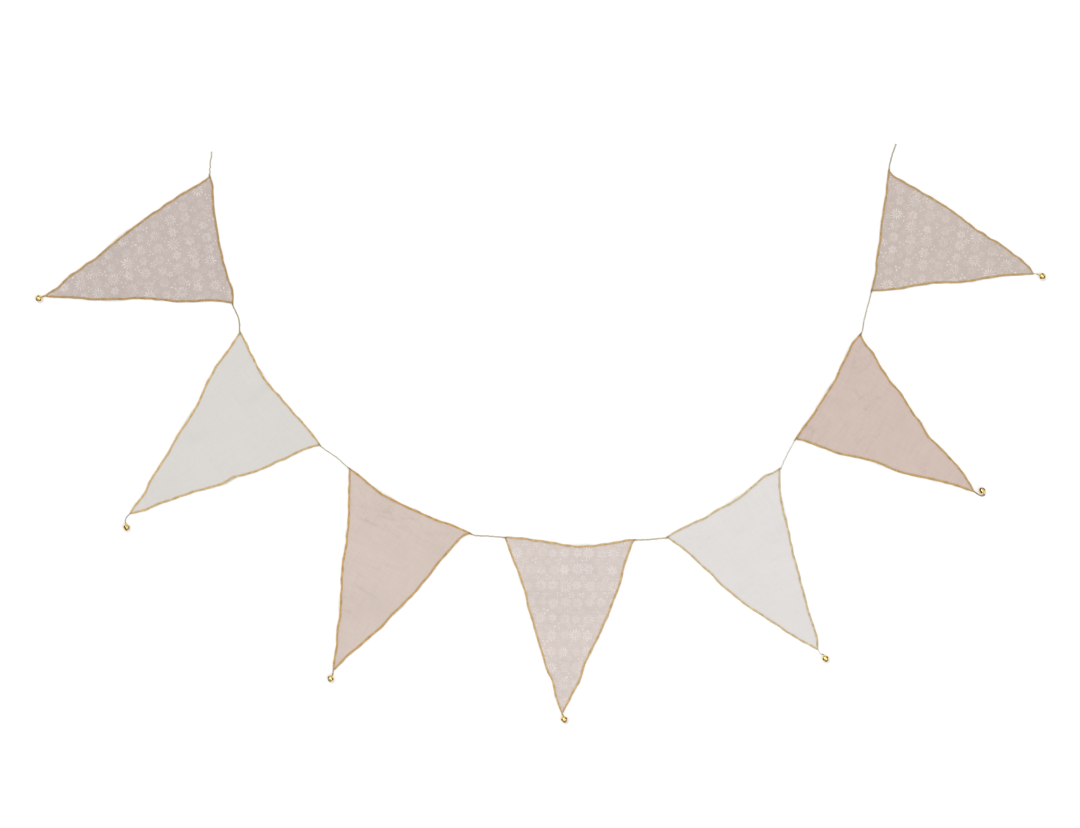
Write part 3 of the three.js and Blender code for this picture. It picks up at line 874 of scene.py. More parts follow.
@dataclass(frozen=True)
class Overlock:
    """An overlocked edge: a flat band of thread wraps, with one straight line of needle stitches on it."""

    # The band's two halves and its level. Its width wanders in waves of uneven length.
    outer: float = 1.45
    inner: float = 1.45
    level: float = 1.0
    wander: float = 0.16
    wave: float = 17.0
    drift: float = 1.9
    # It narrows towards the corners, runs off the base as a tail and runs on a little at the point
    corner_taper: float = 0.3
    taper_length: float = 6.0
    corner_stub: float = 1.6
    tail_length: float = 1.4
    tail_half: float = 1.0
    tip_stub: float = 0.8
    # How far from a corner painted shade darkens the packed thread, and how much at the point, against 1 at
    # the string
    crowd_shade_reach: float = 2.4
    tip_crowd_shade: float = 0.4
    # Near a corner, a run keeps clear of the one sewn before it, and stops where it gets too narrow
    run_reach: float = 11.6
    run_least_lean: float = 0.1
    run_narrowest: float = 0.85
    # The wraps: their thread, how finely it is drawn and how roundly it turns, and how unevenly they lie
    wrap_pitch: float = 0.82
    wrap_radius: float = 0.38
    wrap_half_height: float = 0.55
    wrap_points: int = 10
    wrap_sides: int = 5
    wrap_roundness: float = 0.75
    wrap_least_reach: float = 0.05
    wrap_slip: float = 0.16
    wrap_uneven: float = 0.09
    # The needle's line, which dips sharply at the end of each stitch
    needle_inset: float = 0.75
    needle_radius: float = 0.22
    needle_stitch: float = 2.6
    needle_dip: float = 0.4
    needle_sharpness: int = 6
    needle_step: float = 0.65
    needle_sides: int = 4
    # The edge's puckers, how far into the cloth they reach and how far from a corner they are free to rise
    pucker_length: float = 14.0
    pucker_rise: float = 0.7
    pucker_reach: float = 7.0
    pucker_free: float = 14.0
    # How much their spacing wanders, over how many of them it and their height come and go, and how far each
    # run's height and puckers are out of step with the last run's
    pucker_wander: float = 1.7
    pucker_drifts: tuple[float, float] = (3.7, 6.1)
    pucker_phases: tuple[float, float] = (1.3, 2.1)
    # How far apart the runs lie in the thread's tone, so that each has its own stretch of it
    tone_step: float = 1000.0

    @property
    def run_clearance(self) -> float:
        """How far a run keeps from the line of the one sewn before it."""
        return self.inner * (1 - self.corner_taper) + GAP


@dataclass
class Flag:
    """One flag: a triangle of gauze with three overlocked edges.

    at is the middle of its base and turn the base's angle from +X. The point lies drop below the base and
    tip_shift to the right of its middle. folds lift the cloth as it lies, creases are its finer marks, and
    wrinkle is how far its many short wrinkles rise. The dye and thread fields are the colours of its cloth
    and edging. Flags of one cloth, and all the edging, are the same stuff: these colours differ from flag to
    flag as painted light, lighter or darker with the light that falls on each. panel and seam hold the sizes
    that all flags share.
    """

    number: int
    cloth: Cloth
    # The cloth's and edging's colours, lighter or darker from flag to flag with the light on each: painted
    # light
    lit_dye: str
    thread: str
    wrinkle: float
    at: tuple[float, float]
    turn: float
    width: float
    drop: float
    tip_shift: float
    base: list[tuple[float, float]]
    left: list[tuple[float, float]]
    right: list[tuple[float, float]]
    folds: list[Ridge]
    creases: list[Ridge]
    panel: Panel = Panel()
    seam: Overlock = Overlock()

    @cached_property
    def edges(self) -> dict[Side, EdgeLine]:
        """The three uneven edges, in the flag's own plane.

        Returns:
            The line of each side's edge.
        """
        left, right = (-self.width / 2, 0.0), (self.width / 2, 0.0)
        tip = (self.tip_shift, -self.drop)
        rows = {Side.BASE: (left, right, self.base, -1), Side.LEFT: (left, tip, self.left, 1),
                Side.RIGHT: (right, tip, self.right, -1)}
        return {side: EdgeLine(*row, seed=10 * self.number + side.value) for side, row in rows.items()}

    def run_number(self, side: Side) -> int:
        """Number the edging's runs through, flag by flag."""
        return 3 * self.number + side.value

    @cached_property
    def flat_area(self) -> float:
        """The cloth's area between its edges.

        Returns:
            The area in square millimetres.
        """
        base, left, right = (self.edges[side].line for side in Side)
        rim = np.concatenate([left, right[::-1], base[::-1]])
        return float(abs(crossed(rim, np.roll(rim, -1, axis=0)).sum()) / 2)

    def to_frame(self, points: np.ndarray) -> np.ndarray:
        """Turn and move points from the flag's plane into the part's frame."""
        turn = np.array(Matrix.Rotation(math.radians(self.turn), 3, "Z"))
        return points @ turn.T + np.array([*self.at, 0.0])

    @cached_property
    def wrinkles(self) -> list[Ridge]:
        """Short wrinkles in loose clusters, lying about along the base.

        Returns:
            The wrinkles' ridges and hollows.
        """
        panel = self.panel
        chance = np.random.default_rng(panel.wrinkle_seed + self.number)
        found = []
        for _ in range(panel.wrinkle_clusters):
            down = 1 - math.sqrt(1 - chance.uniform(*panel.wrinkle_shares))
            across = chance.uniform(-0.5, 0.5)
            middle = np.array([down * self.tip_shift + (1 - down) * across * self.width, down * self.drop])
            for _ in range(panel.wrinkles_in_cluster):
                lean = chance.normal(0, panel.wrinkle_lean)
                half = chance.uniform(*panel.wrinkle_lengths) / 2
                reach = half * np.array([math.cos(lean), math.sin(lean)])
                spot = middle + chance.normal(0, panel.wrinkle_spread, 2)
                # Two in three stand up, and one is a hollow
                rise = self.wrinkle * chance.uniform(panel.wrinkle_faintest, 1) * chance.choice([-1, 1, 1])
                found.append(Ridge(tuple(spot - reach), tuple(spot + reach), rise,
                                   chance.uniform(*panel.wrinkle_halves)))
        return found

    def lift(self, places: np.ndarray) -> np.ndarray:
        """Add up how far the folds, creases and wrinkles lift the cloth at its points."""
        return sum(ridge.lift(places) for ridge in (*self.folds, *self.creases, *self.wrinkles))

    def pucker(self, side: Side, arc: np.ndarray) -> np.ndarray:
        """Work out how far the stitches have drawn an edge up off the surface.

        Args:
            side: which edge.
            arc: lengths along it.

        Returns:
            The rise at each length, which fades out at the corners.
        """
        own, seam = self.run_number(side), self.seam
        turn = 2 * math.pi * arc / seam.pucker_length
        wander = seam.pucker_wander * np.sin(turn / seam.pucker_drifts[0] + own)
        swell = 0.5 + 0.5 * np.sin(turn / seam.pucker_drifts[1] + seam.pucker_phases[0] * own)
        pucker = 0.5 + 0.5 * np.sin(turn + wander + seam.pucker_phases[1] * own)
        free = np.minimum(arc, self.edges[side].length - arc) / seam.pucker_free
        return seam.pucker_rise * np.clip(free, 0, 1) * swell * pucker

    def crinkle(self, places: np.ndarray) -> np.ndarray:
        """Add up low, uneven waves that gauze keeps from the wash.

        Args:
            places: points on the flag.

        Returns:
            The rise at each point, up or down.
        """
        panel = self.panel
        chance = np.random.default_rng(self.number)
        rise = np.zeros(len(places))
        for _ in range(panel.crinkle_waves):
            heading = chance.normal(math.pi / 2, panel.crinkle_lean)
            wave = 2 * math.pi / chance.uniform(*panel.crinkle_lengths)
            phase = chance.uniform(0, 2 * math.pi)
            turn = wave * places @ [math.cos(heading), math.sin(heading)] + phase
            rise += panel.crinkle_rise * np.sin(turn)
        return rise

    def cloth_shape(self) -> Shape:
        """Lay the cloth as a thin closed sheet on a three-sided lattice between the edges.

        Returns:
            The sheet in the part's frame, with its flat millimetres as pattern places.
        """
        panel, seam = self.panel, self.seam
        count = panel.divisions
        base, left, right = (self.edges[side] for side in Side)
        sizes = np.arange(count + 1, 0, -1)
        row = np.repeat(np.arange(count + 1), sizes)
        column = np.concatenate([np.arange(size) for size in sizes])
        down = row / count
        across = column / np.maximum(count - row, 1)
        left_end, right_end = left.at(down * left.length), right.at(down * right.length)
        first, last = base.at(0), base.at(base.length)
        bow = base.at(across * base.length) - first - across[:, None] * (last - first)
        places = left_end + across[:, None] * (right_end - left_end) + (1 - down)[:, None] * bow
        to_base = down * self.drop
        to_left = column / count * 2 * self.flat_area / left.length
        to_right = (1 - down - column / count) * 2 * self.flat_area / right.length
        near = np.exp(-np.minimum(np.minimum(to_base, to_left), to_right) / panel.edge_blend)
        middle = panel.level + (seam.level - panel.level) * near + self.lift(places)
        for side, share, off in ((Side.BASE, across, to_base), (Side.LEFT, down, to_left),
                                 (Side.RIGHT, down, to_right)):
            middle += self.pucker(side, share * self.edges[side].length) * np.exp(-off / seam.pucker_reach)
        middle += (1 - near) * self.crinkle(places)
        half = panel.half * (1 - panel.pressed * near)
        # Where a hollow would go under the surface, the cloth lies on it
        middle = np.maximum(middle, half + panel.clearance)
        under = np.column_stack([places, middle - half])
        upper = np.column_stack([places, middle + half])
        flat = np.column_stack([places, np.full(len(places), panel.pattern_step * self.number)])
        return Shape(self.to_frame(np.concatenate([under, upper])), self.sheet_faces(count),
                     np.concatenate([flat, flat]))

    @staticmethod
    def sheet_faces(count: int) -> list[np.ndarray]:
        """Join the lattice's points into the sheet's faces.

        Args:
            count: how many cells the lattice's first row has.

        Returns:
            The underside and upper side, and the narrow wall round the rim.
        """
        starts = np.cumsum([0, *range(count + 1, 0, -1)])
        top = int(starts[-1])
        under = []
        walls = []
        for row in range(count):
            here, below = starts[row] + np.arange(count - row), starts[row + 1] + np.arange(count - row)
            under.append(np.column_stack([here, here + 1, below]))
            under.append(np.column_stack([here[1:], below[1:], below[:-1]]))
            walls += [(below[0], here[0]), (here[-1] + 1, below[-1])]
        walls += [(i, i + 1) for i in range(count)]
        under = np.concatenate(under)
        first, second = np.array(walls).T
        rim = np.column_stack([first, first + top, second + top, second])
        return [under, under[:, ::-1] + top, rim]

    def band(self, side: Side, arc: np.ndarray) -> tuple[np.ndarray, np.ndarray]:
        """Find the outer and inner sides of an edge's stitches.

        The band is of uneven width, narrows towards the corners and runs off the base as a short tail round
        the string. Where a run sewn before it is in the way, it keeps clear of that.

        Args:
            side: which edge.
            arc: lengths along it.

        Returns:
            The offsets of the two sides, outwards from the edge's line.
        """
        line, seam = self.edges[side], self.seam
        to_corner = np.minimum(arc, line.length - arc)
        turn = arc / seam.wave
        drift = seam.drift * np.sin(turn)
        wander = seam.wander * np.sin(2 * math.pi * turn + drift + self.run_number(side))
        taper = 1 - seam.corner_taper * np.exp(-np.maximum(to_corner, 0) / seam.taper_length)
        tail = np.clip((-to_corner - seam.corner_stub) / seam.tail_length, 0, 1)
        outer, inner = (side_of * (1 - tail) * taper * (half + wander) + side_of * tail * seam.tail_half
                        for side_of, half in ((1, seam.outer), (-1, seam.inner)))
        met = {Side.BASE: [], Side.LEFT: [(Side.BASE, 0, 0)],
               Side.RIGHT: [(Side.BASE, 0, 1), (Side.LEFT, 1, 1)]}[side]
        for other, own_end, other_end in met:
            heading = self.edges[other].heading(np.array(other_end * self.edges[other].length))
            corner = line.at(np.array(own_end * line.length))
            clear = crossed(line.at(arc) - corner, heading)
            way = np.sign(clear[len(clear) // 2])
            lean = way * crossed(line.outward(arc), heading)
            needed = (seam.run_clearance - way * clear) / np.maximum(lean, seam.run_least_lean)
            close = np.abs(arc - own_end * line.length) < seam.run_reach
            inner = np.where(close, np.maximum(inner, needed), inner)
        return outer, inner

    def crowd_shading(self, side: Side, arc: np.ndarray) -> np.ndarray:
        """Work out how much painted shade darkens an edge's thread where it is packed close.

        Args:
            side: which edge.
            arc: lengths along it.

        Returns:
            How much painted shade, from 0 to 1: most where the string leaves the base, and less at the
                point.
        """
        last = 1.0 if side is Side.BASE else self.seam.tip_crowd_shade
        ends = ((1.0, arc), (last, self.edges[side].length - arc))
        return sum(share * np.exp(-(off / self.seam.crowd_shade_reach) ** 2) for share, off in ends)

    def stitches(self, side: Side) -> Shape:
        """Sew one run of the edging: close thread wraps, and the needle's line on top of them.

        Args:
            side: which edge.

        Returns:
            The threads, in the part's frame.
        """
        line, seam = self.edges[side], self.seam
        runs_off = seam.corner_stub + seam.tail_length
        before, after = {Side.BASE: (runs_off, runs_off), Side.LEFT: (0, seam.tip_stub),
                         Side.RIGHT: (0, 0)}[side]
        every = np.linspace(-before, line.length + after, line.fineness)
        outer, inner = self.band(side, every)
        room = every[outer - inner >= seam.run_narrowest]
        start, stop = room[0], room[-1]
        turns = round((stop - start) / seam.wrap_pitch)
        chance = np.random.default_rng([self.number, side.value])
        slip, uneven = chance.uniform(-1, 1, (2, turns + 1))
        turn = np.arange(turns * seam.wrap_points + 1) / seam.wrap_points
        slipped = turn + seam.wrap_slip * np.interp(turn, np.arange(turns + 1), slip)
        arc = np.clip(start + (stop - start) * slipped / turns, start, stop)
        outer, inner = self.band(side, arc)
        inner = inner + seam.wrap_uneven * np.interp(turn, np.arange(turns + 1), uneven)
        reach = np.maximum((outer - inner) / 2 - seam.wrap_radius, seam.wrap_least_reach)
        # Two points stand either side of each end of a wrap, so that it turns round bluntly
        angle = 2 * math.pi * (turn + 0.5 / seam.wrap_points)
        swing, rise = (np.sign(wave) * np.abs(wave) ** seam.wrap_roundness
                       for wave in (np.cos(angle), np.sin(angle)))
        offset = (outer + inner) / 2 + reach * swing
        own = seam.tone_step * self.run_number(side)
        wraps = sweep(self.edge_points(side, arc, offset, seam.wrap_half_height * rise),
                      np.column_stack([line.heading(arc), 0 * arc]), seam.wrap_radius, seam.wrap_sides,
                      run=own + arc, crowd_shade=self.crowd_shading(side, arc))
        arc = np.linspace(start, stop, round((stop - start) / seam.needle_step))
        outer, inner = self.band(side, arc)
        offset = np.minimum(inner + seam.needle_inset, outer - seam.needle_inset)
        dip = seam.needle_dip * np.abs(np.cos(math.pi * arc / seam.needle_stitch)) ** seam.needle_sharpness
        needle = sweep(self.edge_points(side, arc, offset, seam.wrap_half_height + seam.wrap_radius - dip),
                       np.tile(UP, (len(arc), 1)), seam.needle_radius, seam.needle_sides,
                       run=own + arc, crowd_shade=self.crowd_shading(side, arc))
        both = Shape.join([wraps, needle])
        return Shape(self.to_frame(both.points), both.faces, both.places)

    def edge_points(self, side: Side, arc: np.ndarray, offset: np.ndarray, height: np.ndarray) -> np.ndarray:
        """Place points on an edge's band of stitches, in the flag's own plane.

        Args:
            side: which edge.
            arc: lengths along it.
            offset: how far outwards from its line.
            height: how far above the band's middle.

        Returns:
            The points.
        """
        line = self.edges[side]
        level = self.seam.level + np.maximum(self.lift(line.at(arc)), 0) + self.pucker(side, arc)
        return np.column_stack([line.at(arc) + offset[:, None] * line.outward(arc), level + height])

    def base_end(self, right: bool, past: float, height: float) -> np.ndarray:
        """Find a point on the base's line beyond one of its corners.

        Args:
            right: whether it is the right corner.
            past: how far beyond the corner, or inside it where negative.
            height: the point's height.

        Returns:
            The point in the part's frame.
        """
        line = self.edges[Side.BASE]
        place = line.at(np.array(line.length + past if right else -past))
        return self.to_frame(np.array([*place, height]))

    def tip_end(self, past: float, height: float) -> np.ndarray:
        """Find a point on the left edge's line beyond the flag's tip, in the part's frame."""
        line = self.edges[Side.LEFT]
        return self.to_frame(np.array([*line.at(np.array(line.length + past)), height]))

    def build(self) -> None:
        """Make the cloth and its edging and dress them."""
        name = f"flag_{self.number}"
        slub_length, slub_gain = SLUBS[self.cloth]
        gauze = GauzeFinish(f"washed_cotton_{self.cloth.value}_{self.number}", self.lit_dye,
                            self.cloth is Cloth.PRINT, slub_length, slub_gain).material()
        thread = ThreadFinish(f"spun_gold_overlock_thread_{self.number}", self.thread, tone_length=7.0,
                              tone_gain=1.3, sheen=0.1).material()
        runs = [f"edge_{self.number}_{side.name.lower()}" for side in Side]
        cloth = self.cloth_shape().piece(f"{name}_cloth", gauze, self.cloth.value, [name])
        edging = Shape.join([self.stitches(side) for side in Side]).piece(
            f"{name}_overlock", thread, "edging_thread", runs)
        self.flat_area * MM ** 2


@dataclass
class StringRun:
    """One stretch of the string: between two flags, or a loose tie end.

    yarn is its colour, and via are its bends on the surface. A tie end runs on to its cut end. All runs are
    one string: their yarn colours differ from run to run as painted light, lighter or darker with the light
    on each.
    """

    name: str
    yarn: str
    via: list[tuple[float, float]]
    cut_end: tuple[float, float] | None = None
    diameter: float = 1.5
    # How far it runs on inside the edging, and the length over which a cut end has frayed
    tuck: float = 3.0
    fray: float = 3.5
    # It strays from side to side in waves of uneven length, less near its ends
    wander: float = 0.18
    wander_length: float = 9.0
    wander_free: float = 8.0
    uneven: float = 1.6
    drift: float = 2.3

    def strayed(self, line: np.ndarray) -> np.ndarray:
        """Let the string's line stray a little from side to side between its ends.

        Args:
            line: its points.

        Returns:
            The points, moved on the surface.
        """
        along = lengths_along(line)
        beside = unit(np.cross(UP, np.gradient(line, axis=0)))
        free = np.clip(np.minimum(along, along[-1] - along) / self.wander_free, 0, 1) ** 2
        turn = 2 * math.pi * along / self.wander_length
        drift = self.uneven * np.sin(turn / self.drift + len(self.name))
        stray = self.wander * free * np.sin(turn + drift + self.via[0][0])
        return line + stray[:, None] * beside

    def build(self, before: Flag | None, after: Flag | None) -> None:
        """Args:
            before: the flag that it leaves by its right corner, if any.
            after: the flag that it reaches at its left corner, if any.
        """
        height = self.diameter / 2
        ends = []
        for flag, right in ((before, True), (after, False)):
            if flag:
                seat = flag.seam.corner_stub + GAP
                inside = flag.base_end(right, seat - self.tuck, flag.seam.level)
                ends.append([inside, flag.base_end(right, seat, height)])
        bends = [np.array([x, y, height]) for x, y in self.via]
        far = [np.array([*self.cut_end, height])] if self.cut_end else ends[-1][::-1]
        line = self.strayed(laid([*ends[0], *bends, *far], STRING_TWIST.step))
        shape = STRING_TWIST.shape(line, self.fray if self.cut_end else 0.0)
        finish = ThreadFinish(f"twisted_cotton_{self.name}", self.yarn, tone_length=11.0, tone_gain=1.2,
                              roughness=0.85).material()
        piece = shape.piece(f"{self.name}_twist", finish, "string", [self.name])


@dataclass
class JingleBell:
    """A small brass jingle bell beside a flag's point, with the thread that sews it on.

    yarn is the thread's shade, at the bell's middle, turn the way its loop points, tilt how far the loop
    leans from level and roll its slots' turn about its own axis. via are the thread's bends on the surface,
    and twist is how it is made.
    """

    number: int
    yarn: str
    at: tuple[float, float]
    turn: float
    tilt: float
    roll: float
    via: list[tuple[float, float]]
    twist: Twist = THREAD_TWIST
    # A little smaller than its solid and with wider slots, as it looks in the photograph
    radius: float = 4.2
    wall: float = 0.45
    seam_rise: float = 0.07
    seam_half: float = 0.22
    slot_width: float = 1.0
    hole_radius: float = 1.25
    hole_drop: float = 0.5
    loop_radius: float = 0.85
    loop_rise: float = 0.6
    wire_radius: float = 0.35
    thread_radius: float = 0.26
    thread_tuck: float = 2.0
    # The knot's coil: its turns and radius, its middle's distance from the eye, and where it starts and how
    # long it is as shares of that
    knot_turns: int = 3
    knot_radius: float = 0.5
    knot_reach: float = 0.75
    knot_start: float = 0.2
    knot_span: float = 1.6
    # How finely the ball, holes, loop and threads are drawn, and from what angle an edge is crisp
    around: int = 64
    down: int = 40
    hole_sides: int = 24
    loop_points: int = 36
    wire_sides: int = 10
    eye_points: int = 28
    knot_points: int = 20
    thread_sides: int = 7
    crisp_angle: float = 38.0

    @property
    def placed(self) -> Matrix:
        """The turn and place of the bell, with its loop along +X.

        Returns:
            The move into the part's frame.
        """
        return (Matrix.Translation((*self.at, self.radius))
                @ Matrix.Rotation(math.radians(self.turn), 4, "Z")
                @ Matrix.Rotation(math.radians(-self.tilt), 4, "Y"))

    @property
    def rolled(self) -> Matrix:
        """The turn that brings the loop from +Y to +X, with the bell's own roll."""
        return Matrix.Rotation(-math.pi / 2, 4, "Z") @ Matrix.Rotation(math.radians(self.roll), 4, "Y")

    def ball(self, radius: float, seam: float) -> bmesh.types.BMesh:
        """Make a ball about the bell's axis.

        Args:
            radius: its radius.
            seam: how far the seam round its middle stands out.

        Returns:
            The ball as a closed mesh.
        """
        made = bmesh.new()
        bmesh.ops.create_uvsphere(made, u_segments=self.around, v_segments=self.down, radius=radius,
                                  matrix=Matrix.Rotation(math.pi / 2, 4, "X"))
        for vertex in made.verts:
            swell = math.exp(-(vertex.co.y / self.seam_half) ** 2)
            vertex.co *= 1 + seam / radius * swell
        return made

    def cutters(self) -> list[bmesh.types.BMesh]:
        """Make what is cut from the ball.

        Returns:
            The hollow, and for each of the two crossed slots its narrow cut and its round ends.
        """
        found = [self.ball(self.radius - self.wall, 0.0)]
        reach = 3 * self.radius
        for quarter in (0, 1):
            turn = Matrix.Rotation(quarter * math.pi / 2, 4, "Y")
            slot = bmesh.new()
            middle = Matrix.Translation((0, -self.hole_drop - self.radius / 2, 0))
            bmesh.ops.create_cube(slot, size=1.0, matrix=turn @ middle @ Matrix.Diagonal(
                (reach, self.radius, self.slot_width, 1)))
            hole = bmesh.new()
            bmesh.ops.create_cone(hole, cap_ends=True, segments=self.hole_sides, radius1=self.hole_radius,
                                  radius2=self.hole_radius, depth=reach,
                                  matrix=turn @ Matrix.Translation((0, -self.hole_drop, 0))
                                  @ Matrix.Rotation(math.pi / 2, 4, "Y"))
            found += [slot, hole]
        return found

    def shell_shape(self) -> Shape:
        """Cut the hollow, slots and holes from the ball.

        Returns:
            The stamped shell about its own +Y axis.
        """
        parts = []
        for i, form in enumerate([self.ball(self.radius, self.seam_rise), *self.cutters()]):
            mesh = bpy.data.meshes.new(f"bell_form_{i}")
            form.to_mesh(mesh)
            form.free()
            parts.append(bpy.data.objects.new(mesh.name, mesh))
            bpy.context.scene.collection.objects.link(parts[-1])
        for cutter in parts[1:]:
            cut = parts[0].modifiers.new(cutter.name, "BOOLEAN")
            cut.operation, cut.solver, cut.object = "DIFFERENCE", "EXACT", cutter
        graph = bpy.context.evaluated_depsgraph_get()
        cut_mesh = bpy.data.meshes.new_from_object(parts[0].evaluated_get(graph))
        shell = bmesh.new()
        shell.from_mesh(cut_mesh)
        bmesh.ops.triangulate(shell, faces=shell.faces[:])
        points = np.array([vertex.co[:] for vertex in shell.verts])
        faces = np.array([[vertex.index for vertex in face.verts] for face in shell.faces])
        shell.free()
        bpy.data.meshes.remove(cut_mesh)
        for part in parts:
            bpy.data.meshes.remove(part.data)
        return Shape(points, [faces], points)

    def loop_shape(self) -> Shape:
        """Bend the wire loop that stands on top of the shell.

        Returns:
            The loop, on the shell's own +Y axis.
        """
        turn = np.linspace(0, 2 * math.pi, self.loop_points, endpoint=False)
        out = np.column_stack([np.cos(turn), np.sin(turn), 0 * turn])
        path = np.array([0, self.radius + self.loop_rise, 0]) + self.loop_radius * out
        wire = sweep(path, out, self.wire_radius, self.wire_sides, closed=True)
        return Shape(wire.points, wire.faces, wire.points + np.array([0, self.wall, 0]))

    def thread_shape(self, flag: Flag) -> Shape:
        """Sew the bell on: a thread out of the flag's tip, a knot, and an eye round the loop's wire.

        Args:
            flag: the flag whose tip carries the bell.

        Returns:
            The thread in the part's frame.
        """
        wire = self.radius + self.loop_rise + self.loop_radius
        eye = self.wire_radius + self.thread_radius
        start = wire + eye
        knot, meet = (np.array(self.placed @ Vector((x, 0, 0))) for x in (start + self.knot_reach, start))
        bends = [np.array([x, y, 2 * self.thread_radius]) for x, y in self.via]
        inside, seat = (flag.tip_end(flag.seam.tip_stub - tuck, flag.seam.level)
                        for tuck in (self.thread_tuck, 0.0))
        route = [inside, *([seat] if bends else []), *bends, knot, meet]
        thread = self.twist.shape(laid(route, self.twist.step))
        turn = np.linspace(0, 2 * math.pi, self.eye_points, endpoint=False)
        roll = math.radians(self.roll)
        over = np.array([0, -math.sin(roll), math.cos(roll)])
        out = np.cos(turn)[:, None] * np.array([1.0, 0, 0]) + np.sin(turn)[:, None] * over
        path = np.array([wire, 0, 0]) + eye * out
        sewn = [sweep(path, out, self.thread_radius, self.thread_sides, closed=True)]
        along = np.linspace(0, 1, self.knot_points * self.knot_turns)
        coil = 2 * math.pi * self.knot_turns * along
        out = np.column_stack([0 * coil, np.cos(coil), np.sin(coil)])
        away = start + self.knot_reach * (self.knot_start + self.knot_span * along)
        path = np.column_stack([away, 0 * coil, 0 * coil]) + self.knot_radius * out
        sewn.append(sweep(path, out, self.thread_radius, self.thread_sides))
        return Shape.join([thread, *(shape.moved(self.placed) for shape in sewn)])

    def build(self, shell: Shape, flag: Flag, brass: bpy.types.Material) -> None:
        """Place the bell and sew it to its flag.

        Args:
            shell: the stamped shell about its own axis.
            flag: the flag whose tip carries it.
            brass: the bell's finish.
        """
        name = f"bell_{self.number}"
        whole = Shape.join([shell, self.loop_shape()]).moved(self.placed @ self.rolled)
        whole.piece(f"{name}_brass", brass, "bell_brass", [name], sharp=self.crisp_angle)
        thread = ThreadFinish(f"twisted_cotton_sewing_thread_{self.number}", self.yarn, tone_length=5.0,
                              roughness=0.8).material()
        self.thread_shape(flag).piece(f"{name}_sewing", thread, "bell_thread",
                                      [f"bell_thread_{self.number}"])


@dataclass(frozen=True)
class Studio:
    """A white board from above in soft, even light, with the camera where the photograph was taken from."""

    # The photograph is taken from straight above. A pixel of it covers photo_scale of the surface.
    photo_size: tuple[int, int] = (1080, 828)
    photo_origin: tuple[float, float] = (540.7, 446.6)
    photo_scale: float = 1.25
    camera_height: float = 9.0
    sensor: float = 36.0
    board_side: float = 140.0
    board_drop: float = 0.0004
    sky: str = "#FFFFFF"
    # The surround's strength at the horizon and overhead, and the sine of the height where it is full
    sky_low: float = 0.42
    sky_high: float = 0.76
    sky_rise: float = 0.5
    # Each lamp: its name, where it shines from, its strength and how wide it looks in degrees
    lamps: tuple[tuple[str, tuple[float, float, float], float, float], ...] = (
        ("key_softbox", (-0.45, 0.6, 1.6), 1.0, 24.0),
        ("fill_softbox", (0.7, -0.5, 1.5), 0.5, 24.0),
    )

    def build(self, board: bpy.types.Material) -> None:
        """Set up the light, the board and the camera.

        Args:
            board: the board's finish.
        """
        bpy.context.scene.view_settings.view_transform = "Standard"
        self.light()
        self.lay_board(board)
        self.aim_camera()

    def light(self) -> None:
        """Make the surround, a little brighter overhead, and hang the lamps."""
        world = bpy.data.worlds.new("soft_white_surround")
        add = emptied(world)
        way = add("TexCoord")["Generated"]
        height = add("SeparateXYZ", {0: way})["Z"]
        glow = add("MapRange", {"Value": height, "From Max": self.sky_rise, "To Min": self.sky_low,
                                "To Max": self.sky_high})[0]
        shader = add("Background", {"Color": linear(self.sky), "Strength": glow})[0]
        add("OutputWorld", {"Surface": shader})
        bpy.context.scene.world = world
        for name, source, strength, width in self.lamps:
            lamp = bpy.data.lights.new(name, "SUN")
            lamp.energy = strength
            lamp.angle = math.radians(width)
            placed = bpy.data.objects.new(name, lamp)
            placed.rotation_euler = Vector(source).to_track_quat("Z", "Y").to_euler()
            placed.location = source
            bpy.context.scene.collection.objects.link(placed)

    def lay_board(self, finish: bpy.types.Material) -> None:
        """Lay the white board just under the bunting.

        Args:
            finish: the board's finish.
        """
        half = self.board_side / 2
        corners = [(-half, -half), (half, -half), (half, half), (-half, half)]
        mesh = bpy.data.meshes.new("white_board")
        mesh.from_pydata([(x, y, -self.board_drop) for x, y in corners], [], [(0, 1, 2, 3)])
        mesh.materials.append(finish)
        floor = bpy.data.objects.new("white_board", mesh)
        bpy.context.scene.collection.objects.link(floor)

    def aim_camera(self) -> None:
        """Hang the camera so that a pixel covers what it does in the photograph."""
        lens = bpy.data.cameras.new("camera")
        lens.sensor_fit, lens.sensor_width = "HORIZONTAL", self.sensor
        (width, height), (x, y) = self.photo_size, self.photo_origin
        lens.lens = self.sensor * self.camera_height / (width * self.photo_scale * MM)
        camera = bpy.data.objects.new("camera", lens)
        camera.location = ((width / 2 - x) * self.photo_scale * MM, (y - height / 2) * self.photo_scale * MM,
                           self.camera_height)
        bpy.context.scene.collection.objects.link(camera)
        bpy.context.scene.camera = camera
